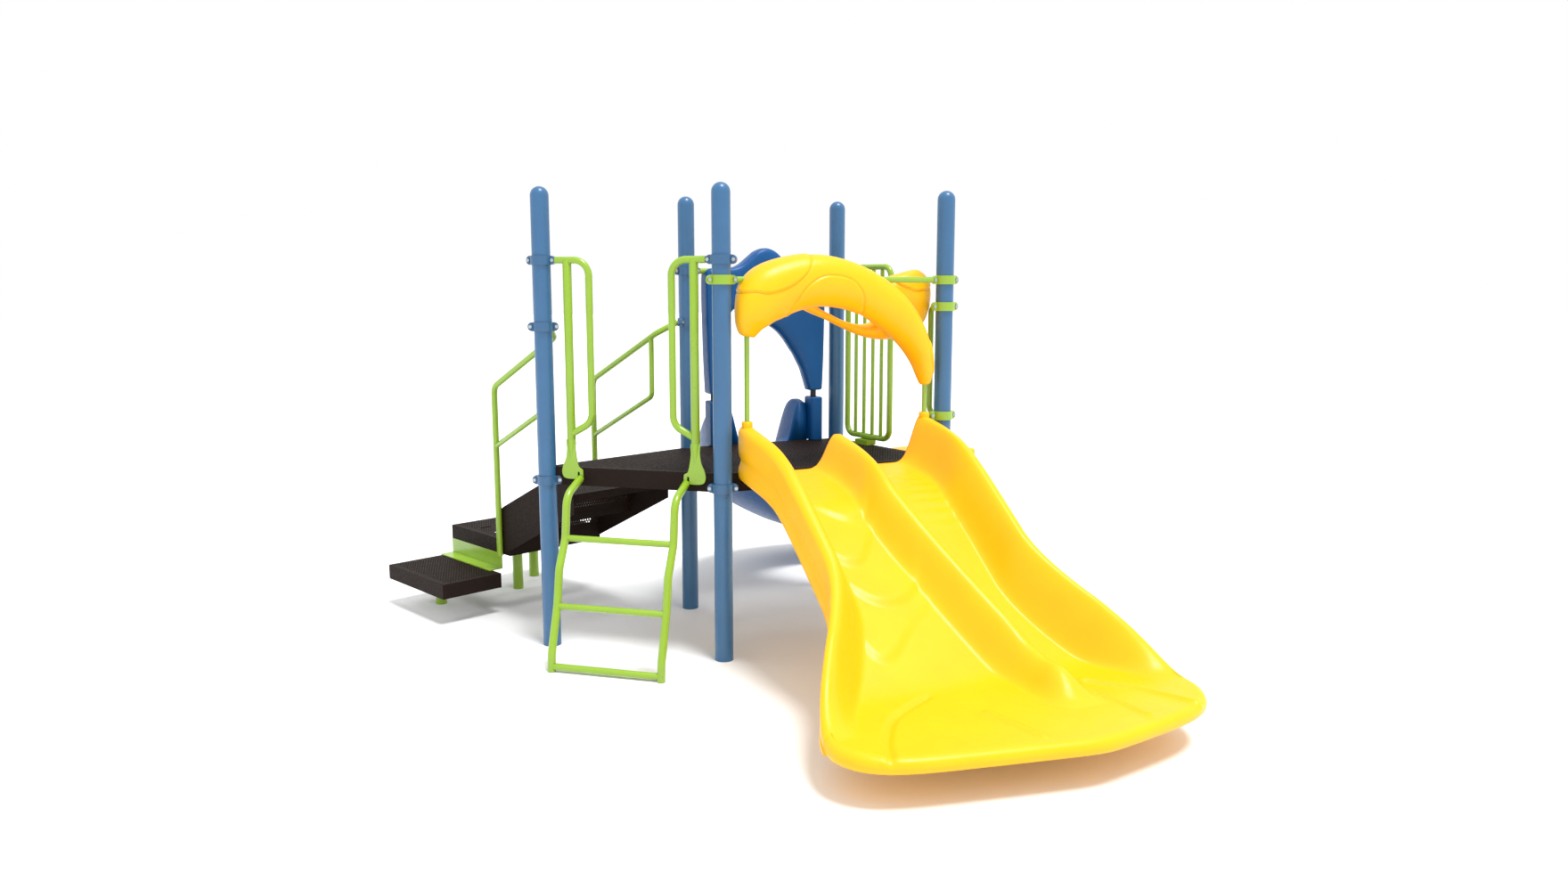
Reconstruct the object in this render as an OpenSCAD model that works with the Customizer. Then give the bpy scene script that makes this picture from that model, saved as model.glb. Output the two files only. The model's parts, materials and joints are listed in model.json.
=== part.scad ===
// Play structure with a double wave slide: five posts, a two-piece deck, a ladder, a turned stair,
// a barrier, a side step, a yellow double slide with its hood and a blue rear slide with its hood.
// Millimetres, +Z up. The origin is the centre of the foot of post C. The slide runs towards -Y.

/* [Posts] */
// Height of the posts with their caps
post_h = 2272; // [2130:1:2600]
// Outside diameter of a post
post_d = 88.9; // [76:0.1:102]
// Wall of a post
post_wall = 3.2; // [2:0.1:5]
// Thickness of the plate that closes a post's foot
post_foot_t = 6; // [4:1:12]
// Length of a cap's plug inside the post
cap_plug = 40; // [20:1:80]

/* [Deck] */
// Side of the triangular deck, and the sides of the main deck except the one at the slide
deck_side = 914.4; // [760:0.1:1100]
// Side of the main deck at the double slide
deck_front = 1219.2; // [1040:0.1:1450]
// Height of the deck's top
deck_z = 914; // [800:1:1150]
// Depth of the deck's folded skirt
skirt_h = 90; // [60:1:110]
// Thickness of the deck sheet
sheet_t = 4; // [3:0.5:6]
// Gap between the two decks
seam_gap = 0.8; // [0.4:0.1:0.9]

/* [Clamps] */
// Height of a post clamp
clamp_h = 44; // [30:1:60]
// Wall of a post clamp
clamp_t = 8; // [6:0.5:12]
// How far a clamp's ears stand out of its ring
ear_out = 22; // [18:1:34]
// Thickness of an ear on each half of a clamp
ear_t = 11; // [8:1:16]
// Gap between the halves of a clamp
split_gap = 0.6; // [0.4:0.1:0.9]
// Shank diameter of the clamp bolts
bolt_d = 10; // [8:0.5:12]
// Clearance between pieces that seat on each other
fit = 0.3; // [0.2:0.05:0.5]

/* [Ladder bay] */
// Distance from a post to the enclosure's upright
upright_in = 135; // [110:1:170]
// Distance from a post to the outer leg of the enclosure's loop
loop_in = 247; // [225:1:300]
// Height of the enclosure's top pipe above the deck
enclosure_up = 1007; // [840:1:1120]
// Height above the deck where the loop turns back to the upright
loop_foot = 171; // [120:1:260]
// Diameter of the enclosure's upright
upright_d = 42; // [34:0.5:48]
// Diameter of the loop pipe
loop_d = 34; // [28:0.5:40]
// Distance from a post to a ladder rail
rail_in = 182; // [165:1:215]
// Diameter of a ladder rail
rail_d = 38; // [30:0.5:44]
// Diameter of a rung
rung_d = 31; // [25:0.5:36]
// How far the ladder's foot stands out from the deck
ladder_out = 375; // [300:1:450]

/* [Stair] */
// Distance from a post to the middle of a stringer
stair_in = 151.5; // [135:0.5:170]
// Thickness of a stringer plate
stringer_t = 6; // [4:1:10]
// Going of a tread
tread_run = 305; // [260:1:330]
// Height of the turn platform
platform_z = 397; // [360:1:430]
// Length of the turn platform
platform_l = 640; // [560:1:700]
// Thickness of the platform and the lower tread
plank_t = 80; // [60:1:100]
// Height of the lower tread
low_tread_z = 229; // [200:1:250]
// Width of the lower tread
low_tread_w = 351; // [300:1:420]
// Diameter of the stair legs
leg_d = 60; // [48:1:76]
// Diameter of the stair handrails
rail_pipe_d = 33; // [28:0.5:40]
// Height of the handrail above the deck at its post clamp
hand_up = 688; // [620:1:760]

/* [Double slide] */
// Half of the distance between the crests of the side walls at the deck
slide_hw = 490; // [440:1:520]
// Half of the distance between the crests at the slide's waist
waist_hw = 474; // [430:1:500]
// How far each wall flares out from the waist to the exit
slide_flare = 322; // [200:1:360]
// Height of a side wall above its lane
slide_wall = 234; // [190:1:270]
// Height of the divider above the lanes
ridge_h = 164; // [120:1:185]
// How far the divider drifts sideways along the slide
ridge_drift = 315; // [0:1:340]
// Height of the lanes at the exit
exit_z = 200; // [180:1:260]
// Distance from the deck to where the chute steepens
break_d = 389; // [330:1:450]
// Distance from the deck to where the chute levels out
level_d = 1240; // [1100:1:1300]
// Distance from the deck to the middle of the exit lip
slide_run = 1880; // [1780:1:2050]
// Radius of the rolled rim at the deck
rim_r = 40; // [30:1:46]
// Radius of the rolled rim at the exit
lip_r = 34; // [28:1:38]
// Diameter of the slide's exit leg
exit_leg_d = 48; // [38:1:60]

/* [Slide hood] */
// Height of the sit-down bar above the deck
slide_bar_up = 914; // [860:1:950]
// Diameter of the sit-down bar
slide_bar_d = 30; // [25:1:36]
// Diameter of the two hood poles
pole_d = 25; // [20:1:32]

/* [Barrier bay] */
// Height of the barrier's top pipe above the deck
barrier_h = 985; // [850:1:1080]
// Height of the loop rail's top pipe above the deck
loop_top = 780; // [680:1:860]
// Height of the loop rail's lower pipe above the deck
loop_low = 223; // [140:1:300]
// Distance from the deck to the barrier's lower pipe
barrier_up = 43; // [30:1:70]
// Width of the barrier frame between pipe centres
barrier_w = 376; // [340:1:420]
// Diameter of the barrier frame
barrier_d = 32; // [26:1:38]
// Diameter of the barrier's bars
bar_d = 21; // [16:1:26]
// Number of bars in the barrier
bar_count = 4; // [3:1:5]
// Distance from post E to the side step
step_in = 134.4; // [110:0.1:160]
// Length of the side step
step_l = 300; // [240:1:330]
// How far the side step stands out from the deck
step_out = 388; // [320:1:430]
// Height of the side step's body
step_h = 130; // [100:1:200]

/* [Rear slide] */
// Distance from a post to the crest of the rear slide's wall beside it
rear_in = 211.2; // [190:0.1:240]
// Height of the rear slide's walls
rear_wall = 205; // [160:1:240]
// Radius of the rear slide's turn in plan
rear_turn = 640; // [560:1:760]
// Straight length of the rear slide before its turn
rear_lead = 170; // [120:1:260]
// Straight length of the rear slide after its turn
rear_out = 380; // [250:1:500]
// Height of the rear slide's bed at its exit
rear_exit_z = 205; // [180:1:260]
// Height of the rear sit-down bar above the deck
rear_bar_up = 963; // [890:1:970]
// Height of the rear hood's middle lobe above the deck
rear_hood_h = 1089; // [1060:1:1160]
// Height of the feet of the rear hood above the deck
rear_foot_up = 291; // [270:1:340]
// Height of the columns beside the rear slide's entry
rear_col_h = 250; // [220:1:262]

/* [Hidden] */
$fn = 48;
facets = 32;
pipe_sides = 16;
bend_step = 15;

steel_blue = "#4b80b5";
green = "#a6d23c";
brown = "#2d211c";
yellow = "#ffe128";
blue = "#14589a";
black = "#202020";
zinc = "#b9bcbe";

post_r = post_d / 2;
bolt_head_h = 6;
clamp_r = post_r + fit + clamp_t;
seat_r = clamp_r + fit;
ear_seat_r = norm([clamp_r + ear_out, ear_t + fit]) + fit;
skirt_z = deck_z - skirt_h;
enclosure_z = deck_z + enclosure_up;
slide_bar_z = deck_z + slide_bar_up;
barrier_top = deck_z + barrier_h;
rear_bar_z = deck_z + rear_bar_up;
rear_hood_foot = deck_z + rear_foot_up;
rear_hw = deck_side / 2 - rear_in;
bay_in = (deck_front - deck_side) / 2;
bay_depth = sqrt(deck_side * deck_side - bay_in * bay_in);
post_C = [0, 0];
post_E = [deck_front, 0];
post_B = [bay_in, bay_depth];
post_D = [deck_front - bay_in, bay_depth];
post_A = turned(post_B, 60);
posts = [post_A, post_B, post_C, post_D, post_E];
slide_cx = deck_front / 2;

function turned(p, a) = [p.x * cos(a) - p.y * sin(a), p.x * sin(a) + p.y * cos(a)];
function unit(v) = v / norm(v);
function ease(a, b, x) = let(t = min(1, max(0, (x - a) / (b - a)))) t * t * (3 - 2 * t);
function soft_min(a, b, k) = (a + b) / 2 - sqrt(pow((a - b) / 2, 2) + k * k);
function soft_max(a, b, k) = (a + b) / 2 + sqrt(pow((a - b) / 2, 2) + k * k);
// A bank that is 1 at no distance and falls to 0 at distance w
function bank(d, w) = abs(d) < w ? (1 + cos(180 * d / w)) / 2 : 0;

// Places its children with +X from post p towards post q and +Y to the left of that line
module bay(p, q) {
    translate([p.x, p.y, 0]) rotate([0, 0, atan2(q.y - p.y, q.x - p.x)]) children();
}

// Tangent length of a bend of radius bend at corner i of the path pts
function tangent(pts, i, bend) =
    i <= 0 || i >= len(pts) - 1 ? 0
    : let(a = unit(pts[i - 1] - pts[i]), b = unit(pts[i + 1] - pts[i])) bend / tan(acos(a * b) / 2);

// Closes rings of equal length, listed along a body, into a solid. Where across is given, the first
// across + 1 points of a ring are its top, and as many more, four further on, are its underside.
module skin(rings, across = 0) {
    m = len(rings[0]);
    last = len(rings) - 1;
    low = 2 * across + 5;
    cap = across == 0 ? [[for (k = [0:m - 1]) k]] : concat(
        [for (k = [0:across - 1]) [k, k + 1, low - k - 1, low - k]],
        [[for (k = [across:across + 5]) k], [for (k = [low:low + 4]) k, 0]]
    );
    polyhedron(
        points = [for (r = rings) each r],
        faces = concat(
            cap,
            [for (f = cap) [for (k = [len(f) - 1:-1:0]) last * m + f[k]]],
            [for (j = [0:last - 1], k = [0:m - 1])
                [j * m + k, (j + 1) * m + k, (j + 1) * m + (k + 1) % m]],
            [for (j = [0:last - 1], k = [0:m - 1])
                [j * m + k, (j + 1) * m + (k + 1) % m, j * m + (k + 1) % m]]
        ),
        convexity = 8
    );
}

// Points round the bend at corner i of the path pts
function bend_points(pts, i, bend) = let(
    a = unit(pts[i - 1] - pts[i]),
    b = unit(pts[i + 1] - pts[i]),
    corner = acos(a * b),
    centre = pts[i] + unit(a + b) * bend / sin(corner / 2),
    from = pts[i] + a * tangent(pts, i, bend) - centre,
    to = pts[i] + b * tangent(pts, i, bend) - centre,
    side = norm(from) * unit(cross(unit(cross(from, to)), from)),
    steps = ceil((180 - corner) / bend_step)
) [for (k = [0:steps]) let(t = (180 - corner) * k / steps) centre + from * cos(t) + side * sin(t)];

// The whole middle line of a pipe: its ends, and the points round each bend between them
function middle_line(pts, bend) = [
    pts[0],
    if (len(pts) > 2) for (i = [1:len(pts) - 2]) each bend_points(pts, i, bend),
    pts[len(pts) - 1]
];

// Directions square to each of dirs, turned as little as can be from one to the next
function carried(dirs, n, i = 0) = i == len(dirs) ? []
    : let(m = unit(n - (n * dirs[i]) * dirs[i])) concat([m], carried(dirs, m, i + 1));

// A round pipe of diameter d along the path pts, bent to the radius bend at each inner corner
module pipe(pts, d, bend = 60) {
    line = middle_line(pts, bend);
    last = len(line) - 1;
    dirs = [for (i = [0:last]) unit(
        (i < last ? unit(line[i + 1] - line[i]) : [0, 0, 0]) +
        (i > 0 ? unit(line[i] - line[i - 1]) : [0, 0, 0])
    )];
    start = abs(dirs[0].z) < 0.9 ? [0, 0, 1] : [0, 1, 0];
    sides = carried(dirs, start);
    skin([for (i = [0:last]) [
        for (k = [0:pipe_sides - 1]) let(a = 360 * k / pipe_sides)
            line[i] + d / 2 * (cos(a) * sides[i] + sin(a) * cross(dirs[i], sides[i]))
    ]]);
}

// Joins pipes where they are welded, as one mesh
module welded() { resize([0, 0, 0]) union() children(); }

// Clears a post and, where it has one, its clamp out of the children
module clear_of(p, r) {
    difference() {
        children();
        translate([p.x, p.y, -1]) cylinder(r = r, h = post_h);
    }
}

// ---- Posts ----

module post(p) {
    color(steel_blue) translate([p.x, p.y, 0]) difference() {
        cylinder(r = post_r, h = post_h - post_r);
        translate([0, 0, post_foot_t]) cylinder(r = post_r - post_wall, h = post_h);
    }
}

module post_caps() {
    plug_r = post_r - post_wall - fit;
    color(steel_blue) for (p = posts) translate([p.x, p.y, post_h - post_r]) rotate_extrude() {
        intersection() {
            circle(r = post_r);
            square(post_r);
        }
        translate([0, -cap_plug]) square([plug_r, cap_plug]);
    }
}

// ---- Clamps ----

// Every clamp: its post, its height and the direction of its ears
deck_clamp_z = skirt_z + fit + clamp_h / 2;
hand_z = deck_z + hand_up;
loop_top_z = deck_z + loop_top;
loop_low_z = deck_z + loop_low;
barrier_clamp_z = [barrier_top - 90];
deck_clamp_list = [
    [post_A, deck_clamp_z, -24], [post_B, deck_clamp_z, 10], [post_C, deck_clamp_z, -24],
    [post_D, deck_clamp_z, -10], [post_E, deck_clamp_z, 0]
];
enclosure_clamp_list = [[post_A, enclosure_z, -39], [post_C, enclosure_z, -39]];
handrail_clamp_list = [[post_A, hand_z, -10], [post_B, hand_z, 40]];
slide_bar_clamp_list = [[post_C, slide_bar_z, 0], [post_E, slide_bar_z, 0]];
loop_clamp_list = [[post_E, loop_top_z, 0], [post_E, loop_low_z, 0]];
barrier_clamp_list = [for (z = barrier_clamp_z) [post_D, z, -80]];
rear_bar_clamp_list = [[post_B, rear_bar_z, 0], [post_D, rear_bar_z, 0]];
all_clamps = concat(
    deck_clamp_list, enclosure_clamp_list, handrail_clamp_list, slide_bar_clamp_list,
    loop_clamp_list, barrier_clamp_list, rear_bar_clamp_list
);
ear_bolt_x = clamp_r + ear_out / 2;

// One half of a two-piece collar, on the side of +Y
module clamp_half(out) {
    end_x = clamp_r + out - clamp_h / 2;
    bolt_x = clamp_r + out / 2;
    difference() {
        union() {
            translate([0, 0, -clamp_h / 2]) cylinder(r = clamp_r, h = clamp_h);
            translate([-end_x, -ear_t, -clamp_h / 2]) cube([2 * end_x, 2 * ear_t, clamp_h]);
            for (x = [-end_x, end_x])
                translate([x, ear_t, 0]) rotate([90, 0, 0]) cylinder(d = clamp_h, h = 2 * ear_t);
        }
        translate([0, 0, -clamp_h]) cylinder(r = post_r + fit, h = 2 * clamp_h);
        translate([-2 * clamp_r, -3 * clamp_r + split_gap / 2, -clamp_h])
            cube([4 * clamp_r, 3 * clamp_r, 2 * clamp_h]);
        for (x = [-bolt_x, bolt_x])
            translate([x, 2 * ear_t, 0]) rotate([90, 0, 0]) cylinder(d = bolt_d + 2 * fit, h = 4 * ear_t);
    }
}

module clamps(list, out = ear_out) {
    for (c = list) translate([c[0].x, c[0].y, c[1]]) for (side = [0, 180])
        rotate([0, 0, c[2] + side]) clamp_half(out);
}

// A button-head bolt with its nut, through both ears of a clamp, along Y
module clamp_bolt() {
    grip = ear_t + fit;
    head_h = bolt_head_h;
    rotate([90, 0, 0]) rotate_extrude() polygon([
        [0, -grip - head_h], [bolt_d * 0.55, -grip - head_h], [bolt_d * 0.85, -grip - head_h / 2],
        [bolt_d * 0.9, -grip], [bolt_d / 2, -grip], [bolt_d / 2, grip], [bolt_d * 0.85, grip],
        [bolt_d * 0.85, grip + head_h], [0, grip + head_h]
    ]);
}

module clamp_bolts() {
    color(zinc) for (c = all_clamps) translate([c[0].x, c[0].y, c[1]]) rotate([0, 0, c[2]])
        for (x = [-ear_bolt_x, ear_bolt_x]) translate([x, 0, 0]) clamp_bolt();
}

// ---- Deck ----

// Half width of the notch in a skirt that lets an ear and its bolt through
ear_notch = ear_t + bolt_head_h + 3 * fit;

// A folded pan under the polygon pts, clear of the posts
module deck_pan(pts) {
    clear = post_r + fit;
    difference() {
        translate([0, 0, skirt_z]) linear_extrude(skirt_h) polygon(pts);
        translate([0, 0, skirt_z - 1]) linear_extrude(skirt_h - sheet_t + 1) difference() {
            polygon(inset_outline(pts, sheet_t));
            for (p = posts) translate(p) circle(r = clamp_r + 2 * sheet_t);
        }
        for (p = posts) translate([p.x, p.y, skirt_z - 1]) cylinder(r = clear, h = skirt_h + 2);
        for (c = deck_clamp_list) translate([c[0].x, c[0].y, skirt_z - 1]) rotate([0, 0, c[2]]) {
            cylinder(r = seat_r, h = clamp_h + 2 * fit + 1);
            translate([-ear_seat_r, -ear_notch, 0]) cube([2 * ear_seat_r, 2 * ear_notch, clamp_h + 2 * fit + 1]);
        }
    }
}

// The corners of a convex outline, listed counter-clockwise, moved in by t from each side
function inset_outline(pts, t) = [
    for (i = [0:len(pts) - 1]) let(
        p = pts[i],
        a = unit(pts[(i + len(pts) - 1) % len(pts)] - p),
        b = unit(pts[(i + 1) % len(pts)] - p),
        half = acos(a * b) / 2
    ) p + unit(a + b) * t / sin(half)
];

// The seam line moved by half of the seam gap towards each deck
seam_n = unit([post_B.y, -post_B.x]);
half_seam = seam_n * seam_gap / 2;

module deck_triangle() {
    color(brown) deck_pan([post_C - half_seam, post_B - half_seam, post_A]);
}

module deck_main() {
    color(brown) difference() {
        deck_pan([post_C + half_seam, post_E, post_D, post_B + half_seam]);
        for (x = slide_bolt_x) translate([slide_cx + x, 2 * sheet_t, slide_bolt_z])
            rotate([90, 0, 0]) cylinder(d = bolt_d + 2 * fit, h = 3 * sheet_t);
    }
}

// ---- Ladder bay, in the frame of bay C-A ----

bend_r = 75;
loop_z = deck_z + loop_foot;
plate_top = loop_z - 30;
plate_low = skirt_z + 34;
plate_t = 8;

module enclosure() {
    welded() clear_of([0, 0], ear_seat_r) {
        pipe([
            [0, 0, enclosure_z], [loop_in, 0, enclosure_z],
            [loop_in, 0, loop_z + 55], [upright_in, 0, loop_z]
        ], loop_d, bend_r);
        pipe([[upright_in, 0, plate_top], [upright_in, 0, enclosure_z]], upright_d);
    }
}

// The flattened foot of an upright: a taper from the pipe to a flared plate on the skirt
module foot_plate() {
    top = plate_top - fit;
    neck = deck_z + 70;
    translate([upright_in, 0, 0]) {
        hull() {
            translate([0, 0, top - 1]) cylinder(d = upright_d, h = 1, $fn = facets);
            translate([-upright_d / 2, fit, neck]) cube([upright_d, plate_t, 1]);
        }
        translate([0, fit + plate_t, 0]) rotate([90, 0, 0]) linear_extrude(plate_t) difference() {
            union() {
                polygon([
                    [-upright_d / 2, neck + 1], [upright_d / 2, neck + 1],
                    [upright_d / 2 + 30, plate_low + 50], [upright_d / 2 + 38, plate_low + 6],
                    [upright_d / 2 + 30, plate_low], [-upright_d / 2, plate_low],
                    [-upright_d / 2 - 24, plate_low + 20], [-upright_d / 2 - 26, plate_low + 40],
                    [-upright_d / 2 - 6, plate_low + 80]
                ]);
                translate([-upright_d / 2 - 4, plate_low + 24]) circle(r = 24);
            }
            translate([upright_d / 2 + 12, plate_low + 18]) circle(d = 11);
            translate([upright_d / 2 + 12, plate_low + 28]) circle(d = 11);
            translate([upright_d / 2 + 6.5, plate_low + 18]) square([11, 10]);
        }
    }
}

module left_bay_mirror() {
    bay(post_C, post_A) translate([deck_side, 0, 0]) mirror([1, 0, 0]) children();
}

module enclosure_left() { color(green) left_bay_mirror() enclosure(); }

module enclosure_right() { color(green) bay(post_C, post_A) enclosure(); }

module enclosure_foot_plates() {
    color(green) {
        bay(post_C, post_A) foot_plate();
        left_bay_mirror() foot_plate();
    }
}

// Side profile of a ladder rail: how far out and how high
ladder_profile = [
    for (p = [[0, 0.945], [0.44, 0.88], [0.51, 0.66], [0.71, 0.51], [0.79, 0.33], [0.975, 0.1], [1, 0]])
        [p[0] * ladder_out, p[1] * deck_z]
];
rung_heights = [603, 297, 25];

module ladder_rail(d) {
    welded() difference() {
        pipe([for (p = ladder_profile) [rail_in, p[0], p[1]]], d, 70);
        translate([0, plate_t + 2 * fit - 2 * rail_in, 0]) cube([2 * rail_in, 2 * rail_in, deck_z + rail_d]);
    }
}

module ladder_rail_left() { color(green) left_bay_mirror() ladder_rail(rail_d); }

module ladder_rail_right() { color(green) bay(post_C, post_A) ladder_rail(rail_d); }

module ladder_rungs() {
    out = [for (i = [len(ladder_profile) - 1:-1:0]) [ladder_profile[i][1], ladder_profile[i][0]]];
    color(green) bay(post_C, post_A) welded() difference() {
        for (z = rung_heights)
            pipe([[rail_in, lookup(z, out), z], [deck_side - rail_in, lookup(z, out), z]], rung_d);
        ladder_rail(rail_d + 2 * fit);
        translate([deck_side, 0, 0]) mirror([1, 0, 0]) ladder_rail(rail_d + 2 * fit);
    }
}

// ---- Stair, in the frame of bay A-B: X along the bay, Y out from the deck ----

rise = (deck_z - platform_z) / 3;
stair_l = 2 * tread_run + 24;
stringer_end = stair_l + 93;
inner_in = stair_in + stringer_t / 2 + fit;
stair_w = deck_side - 2 * inner_in;
tread_t = 40;

module stringer_plate() {
    translate([0, fit, 0]) rotate([90, 0, 90]) linear_extrude(stringer_t, center = true) polygon([
        [0, deck_z - 264], [0, deck_z - 11], [stringer_end - 60, platform_z + 198],
        [stringer_end, platform_z + 165], [stringer_end, platform_z - 95]
    ]);
}

module stair_stringers() {
    color(brown) bay(post_A, post_B) for (x = [stair_in, deck_side - stair_in])
        translate([x, 0, 0]) stringer_plate();
}

// A folded tread or plank, open below
module plank(size, t = sheet_t) {
    difference() {
        cube(size);
        translate([t, t, -1]) cube([size.x - 2 * t, size.y - 2 * t, size.z - t + 1]);
    }
}

module stair_treads() {
    color(brown) bay(post_A, post_B) for (i = [1:2])
        translate([inner_in, stair_l - i * tread_run + fit, platform_z + i * rise - tread_t])
            plank([stair_w, tread_run - fit, tread_t]);
}

module stair_risers() {
    color(brown) bay(post_A, post_B) for (i = [1:2])
        translate([inner_in, stair_l - (i - 1) * tread_run - sheet_t, platform_z + (i - 1) * rise + fit])
            cube([stair_w, sheet_t, rise - tread_t - 2 * fit]);
}

platform_v = stair_l + fit;

module stair_platform() {
    color(brown) bay(post_A, post_B) translate([inner_in, platform_v, platform_z - plank_t]) difference() {
        plank([stair_w, platform_l, plank_t]);
        for (i = [0:4], j = [0:2])
            translate([70 + i * (stair_w - 140) / 5, 120 + j * 150, plank_t - 2 * sheet_t])
                cube([70, 22, 3 * sheet_t]);
    }
}

low_tread_x = stair_in - stringer_t / 2 - 47 - low_tread_w;

module lower_tread() {
    color(brown) bay(post_A, post_B)
        translate([low_tread_x, platform_v + 10, low_tread_z - plank_t])
            plank([low_tread_w, platform_l - 20, plank_t]);
}

// Green angle between the platform and the lower tread
module step_bracket() {
    bracket_t = 5;
    plate_x = inner_in;
    flange_x = low_tread_x + low_tread_w - 25;
    v = stringer_end + 2 * fit;
    color(green) bay(post_A, post_B) {
        translate([plate_x, v, low_tread_z + fit])
            cube([bracket_t, platform_v + platform_l - v, platform_z - plank_t - low_tread_z - 2 * fit]);
        translate([flange_x, v, low_tread_z + fit])
            cube([plate_x - flange_x, platform_v + platform_l - v, bracket_t]);
    }
}

// Two legs carry the platform, one near its middle and one near its far corner
platform_legs = [[stair_w * 0.48, platform_l * 0.63], [stair_w - 85, platform_l - 48]];

module stair_legs() {
    color(green) bay(post_A, post_B) {
        for (p = platform_legs)
            translate([inner_in + p.x, platform_v + p.y, 0])
                cylinder(d = leg_d, h = platform_z - sheet_t - fit);
        translate([low_tread_x + low_tread_w * 0.6, platform_v + platform_l * 0.68, 0])
            cylinder(d = leg_d, h = low_tread_z - sheet_t - fit);
    }
}

// Handrail in the frame of its post: out sideways by hand_in, then down over the stair
hand_in = stair_in - stringer_t / 2 - fit - rail_pipe_d / 2;
newel_v = stringer_end - 26;
newel_bend_z = deck_z + 339;
hand_slope = 0.485;

module handrail() {
    top_v = 105;
    top_z = newel_bend_z + (newel_v - top_v) * hand_slope;
    strut_v = 150;
    strut_low_z = deck_z + 280;
    welded() clear_of([0, 0], seat_r) {
        pipe([
            [20, 12, hand_z], [hand_in, top_v, top_z], [hand_in, newel_v, newel_bend_z],
            [hand_in, newel_v, platform_z - 84]
        ], rail_pipe_d, 50);
        pipe([
            [hand_in, newel_v, strut_low_z - (newel_v - strut_v) * hand_slope],
            [hand_in, strut_v, strut_low_z],
            [hand_in, strut_v, top_z - (strut_v - top_v) * hand_slope]
        ], rail_pipe_d * 0.85, 45);
    }
}

module handrail_near() { color(green) bay(post_A, post_B) handrail(); }

module handrail_far() {
    color(green) bay(post_A, post_B) translate([deck_side, 0, 0]) mirror([1, 0, 0]) handrail();
}

// ---- Double slide ----

top_slope = 0.15;
chute_slope = (deck_z - top_slope * break_d - exit_z) / (level_d - break_d);
flare_end = level_d + 320;
mouth_d = level_d + 260;

// Height of the lanes, height of the walls over them and of the divider, at distance d from the deck
function lane_z(d) = soft_max(
    soft_min(deck_z - top_slope * d, exit_z + (level_d - d) * chute_slope, 40), exit_z, 20
);
function wall_h(d) = 8 + (slide_wall - 8) * (1 - ease(level_d - 60, flare_end, d));
function divider_h(d) = ridge_h * (1 - ease(level_d - 60, level_d + 240, d));
function divider_x(d) = ridge_drift * pow(max(0, d - 520) / (level_d - 334), 1.25);
function half_width(d) = slide_hw + (waist_hw - slide_hw) * ease(100, 450, d)
    + slide_flare * ease(850, flare_end, d);
function roll_r(d) = rim_r + (lip_r - rim_r) * ease(0, flare_end, d);
function under_z(d) = lane_z(d) - 30 - 36 * ease(900, mouth_d, d);
function bank_w(d) = 200 - 70 * ease(0, 350, d);

// Plan of the exit: the lip bulges in front of the divider and its corners are round
function lip_d(u) = let(
    x = u * (waist_hw + slide_flare),
    bulge = slide_run + 22 - 0.25 * sqrt(pow(x - 170, 2) + 3600)
) mouth_d + (bulge - mouth_d) * pow(1 - pow(abs(u), 6), 1 / 3);

// Surface heights of the top and of the underside at distance d, across from -1 to 1
function top_z(d, u) = let(x = u * half_width(d)) lane_z(d)
    + wall_h(d) * bank((1 - abs(u)) * half_width(d), bank_w(d))
    + divider_h(d) * bank(x - divider_x(d), bank_w(d) * 0.9);
function low_z(d, u) = under_z(d)
    + 0.75 * divider_h(d) * bank(u * half_width(d) - divider_x(d), bank_w(d));

// One closed ring of the slide at station t from 0 to 1, with its lip turned down by angle a
function slide_ring(t, a, n) = let(
    straight = min(1, t / 0.8) * mouth_d,
    tail = max(0, (t - 0.8) / 0.2),
    rr = lip_r * sin(a),
    r = roll_r(straight)
) [
    for (k = [0:n]) let(u = 1 - 2 * k / n, d = straight + tail * (lip_d(u) - mouth_d))
        slide_point(d, u, 0, top_z(d, u), a, rr),
    for (b = [60, 30, 0])
        slide_point(straight, -1, -r * cos(b), top_z(straight, -1) - r * (1 - sin(b)), a, rr),
    slide_point(straight, -1, -r * 0.95, low_z(straight, -1) + 12, a, rr),
    for (k = [n:-1:0]) let(u = 1 - 2 * k / n, d = straight + tail * (lip_d(u) - mouth_d))
        slide_point(d, u, 0, low_z(d, u), a, rr),
    slide_point(straight, 1, r * 0.95, low_z(straight, 1) + 12, a, rr),
    for (b = [0, 30, 60])
        slide_point(straight, 1, r * cos(b), top_z(straight, 1) - r * (1 - sin(b)), a, rr)
];
function slide_point(d, u, dx, z, a, rr) = let(mid = (top_z(d, u) + low_z(d, u)) / 2) [
    slide_cx + u * half_width(d) + dx, -fit - d - rr, mid + (z - mid) * cos(a)
];

module double_slide() {
    n = 20;
    color(yellow) welded() difference() {
        skin(concat(
            [for (j = [0:26]) slide_ring(j / 26, 0, n)],
            [for (a = [35, 65, 86]) slide_ring(1, a, n)]
        ), n);
        for (x = slide_bolt_x) translate([slide_cx + x, 1, slide_bolt_z])
            rotate([90, 0, 0]) cylinder(d = bolt_d + 2 * fit, h = slide_bolt_l, $fn = 12);
    }
}

// A two-legged stand under the exit
module slide_exit_leg() {
    d = level_d + 160;
    top = under_z(d + exit_leg_d / 2) - fit;
    stand_x = [-300, 80];
    color(green) {
        for (x = stand_x) translate([slide_cx + x, -fit - d, 0]) cylinder(d = exit_leg_d, h = top);
        translate([slide_cx + stand_x[0], -fit - d, top - exit_leg_d])
            rotate([0, 90, 0]) cylinder(d = exit_leg_d * 0.7, h = stand_x[1] - stand_x[0]);
    }
}

// Bolts through the deck's skirt into the slide's entry
slide_bolt_x = [-380, -120, 120, 380];
slide_bolt_z = deck_z - 22;
slide_bolt_l = 30;

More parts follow.
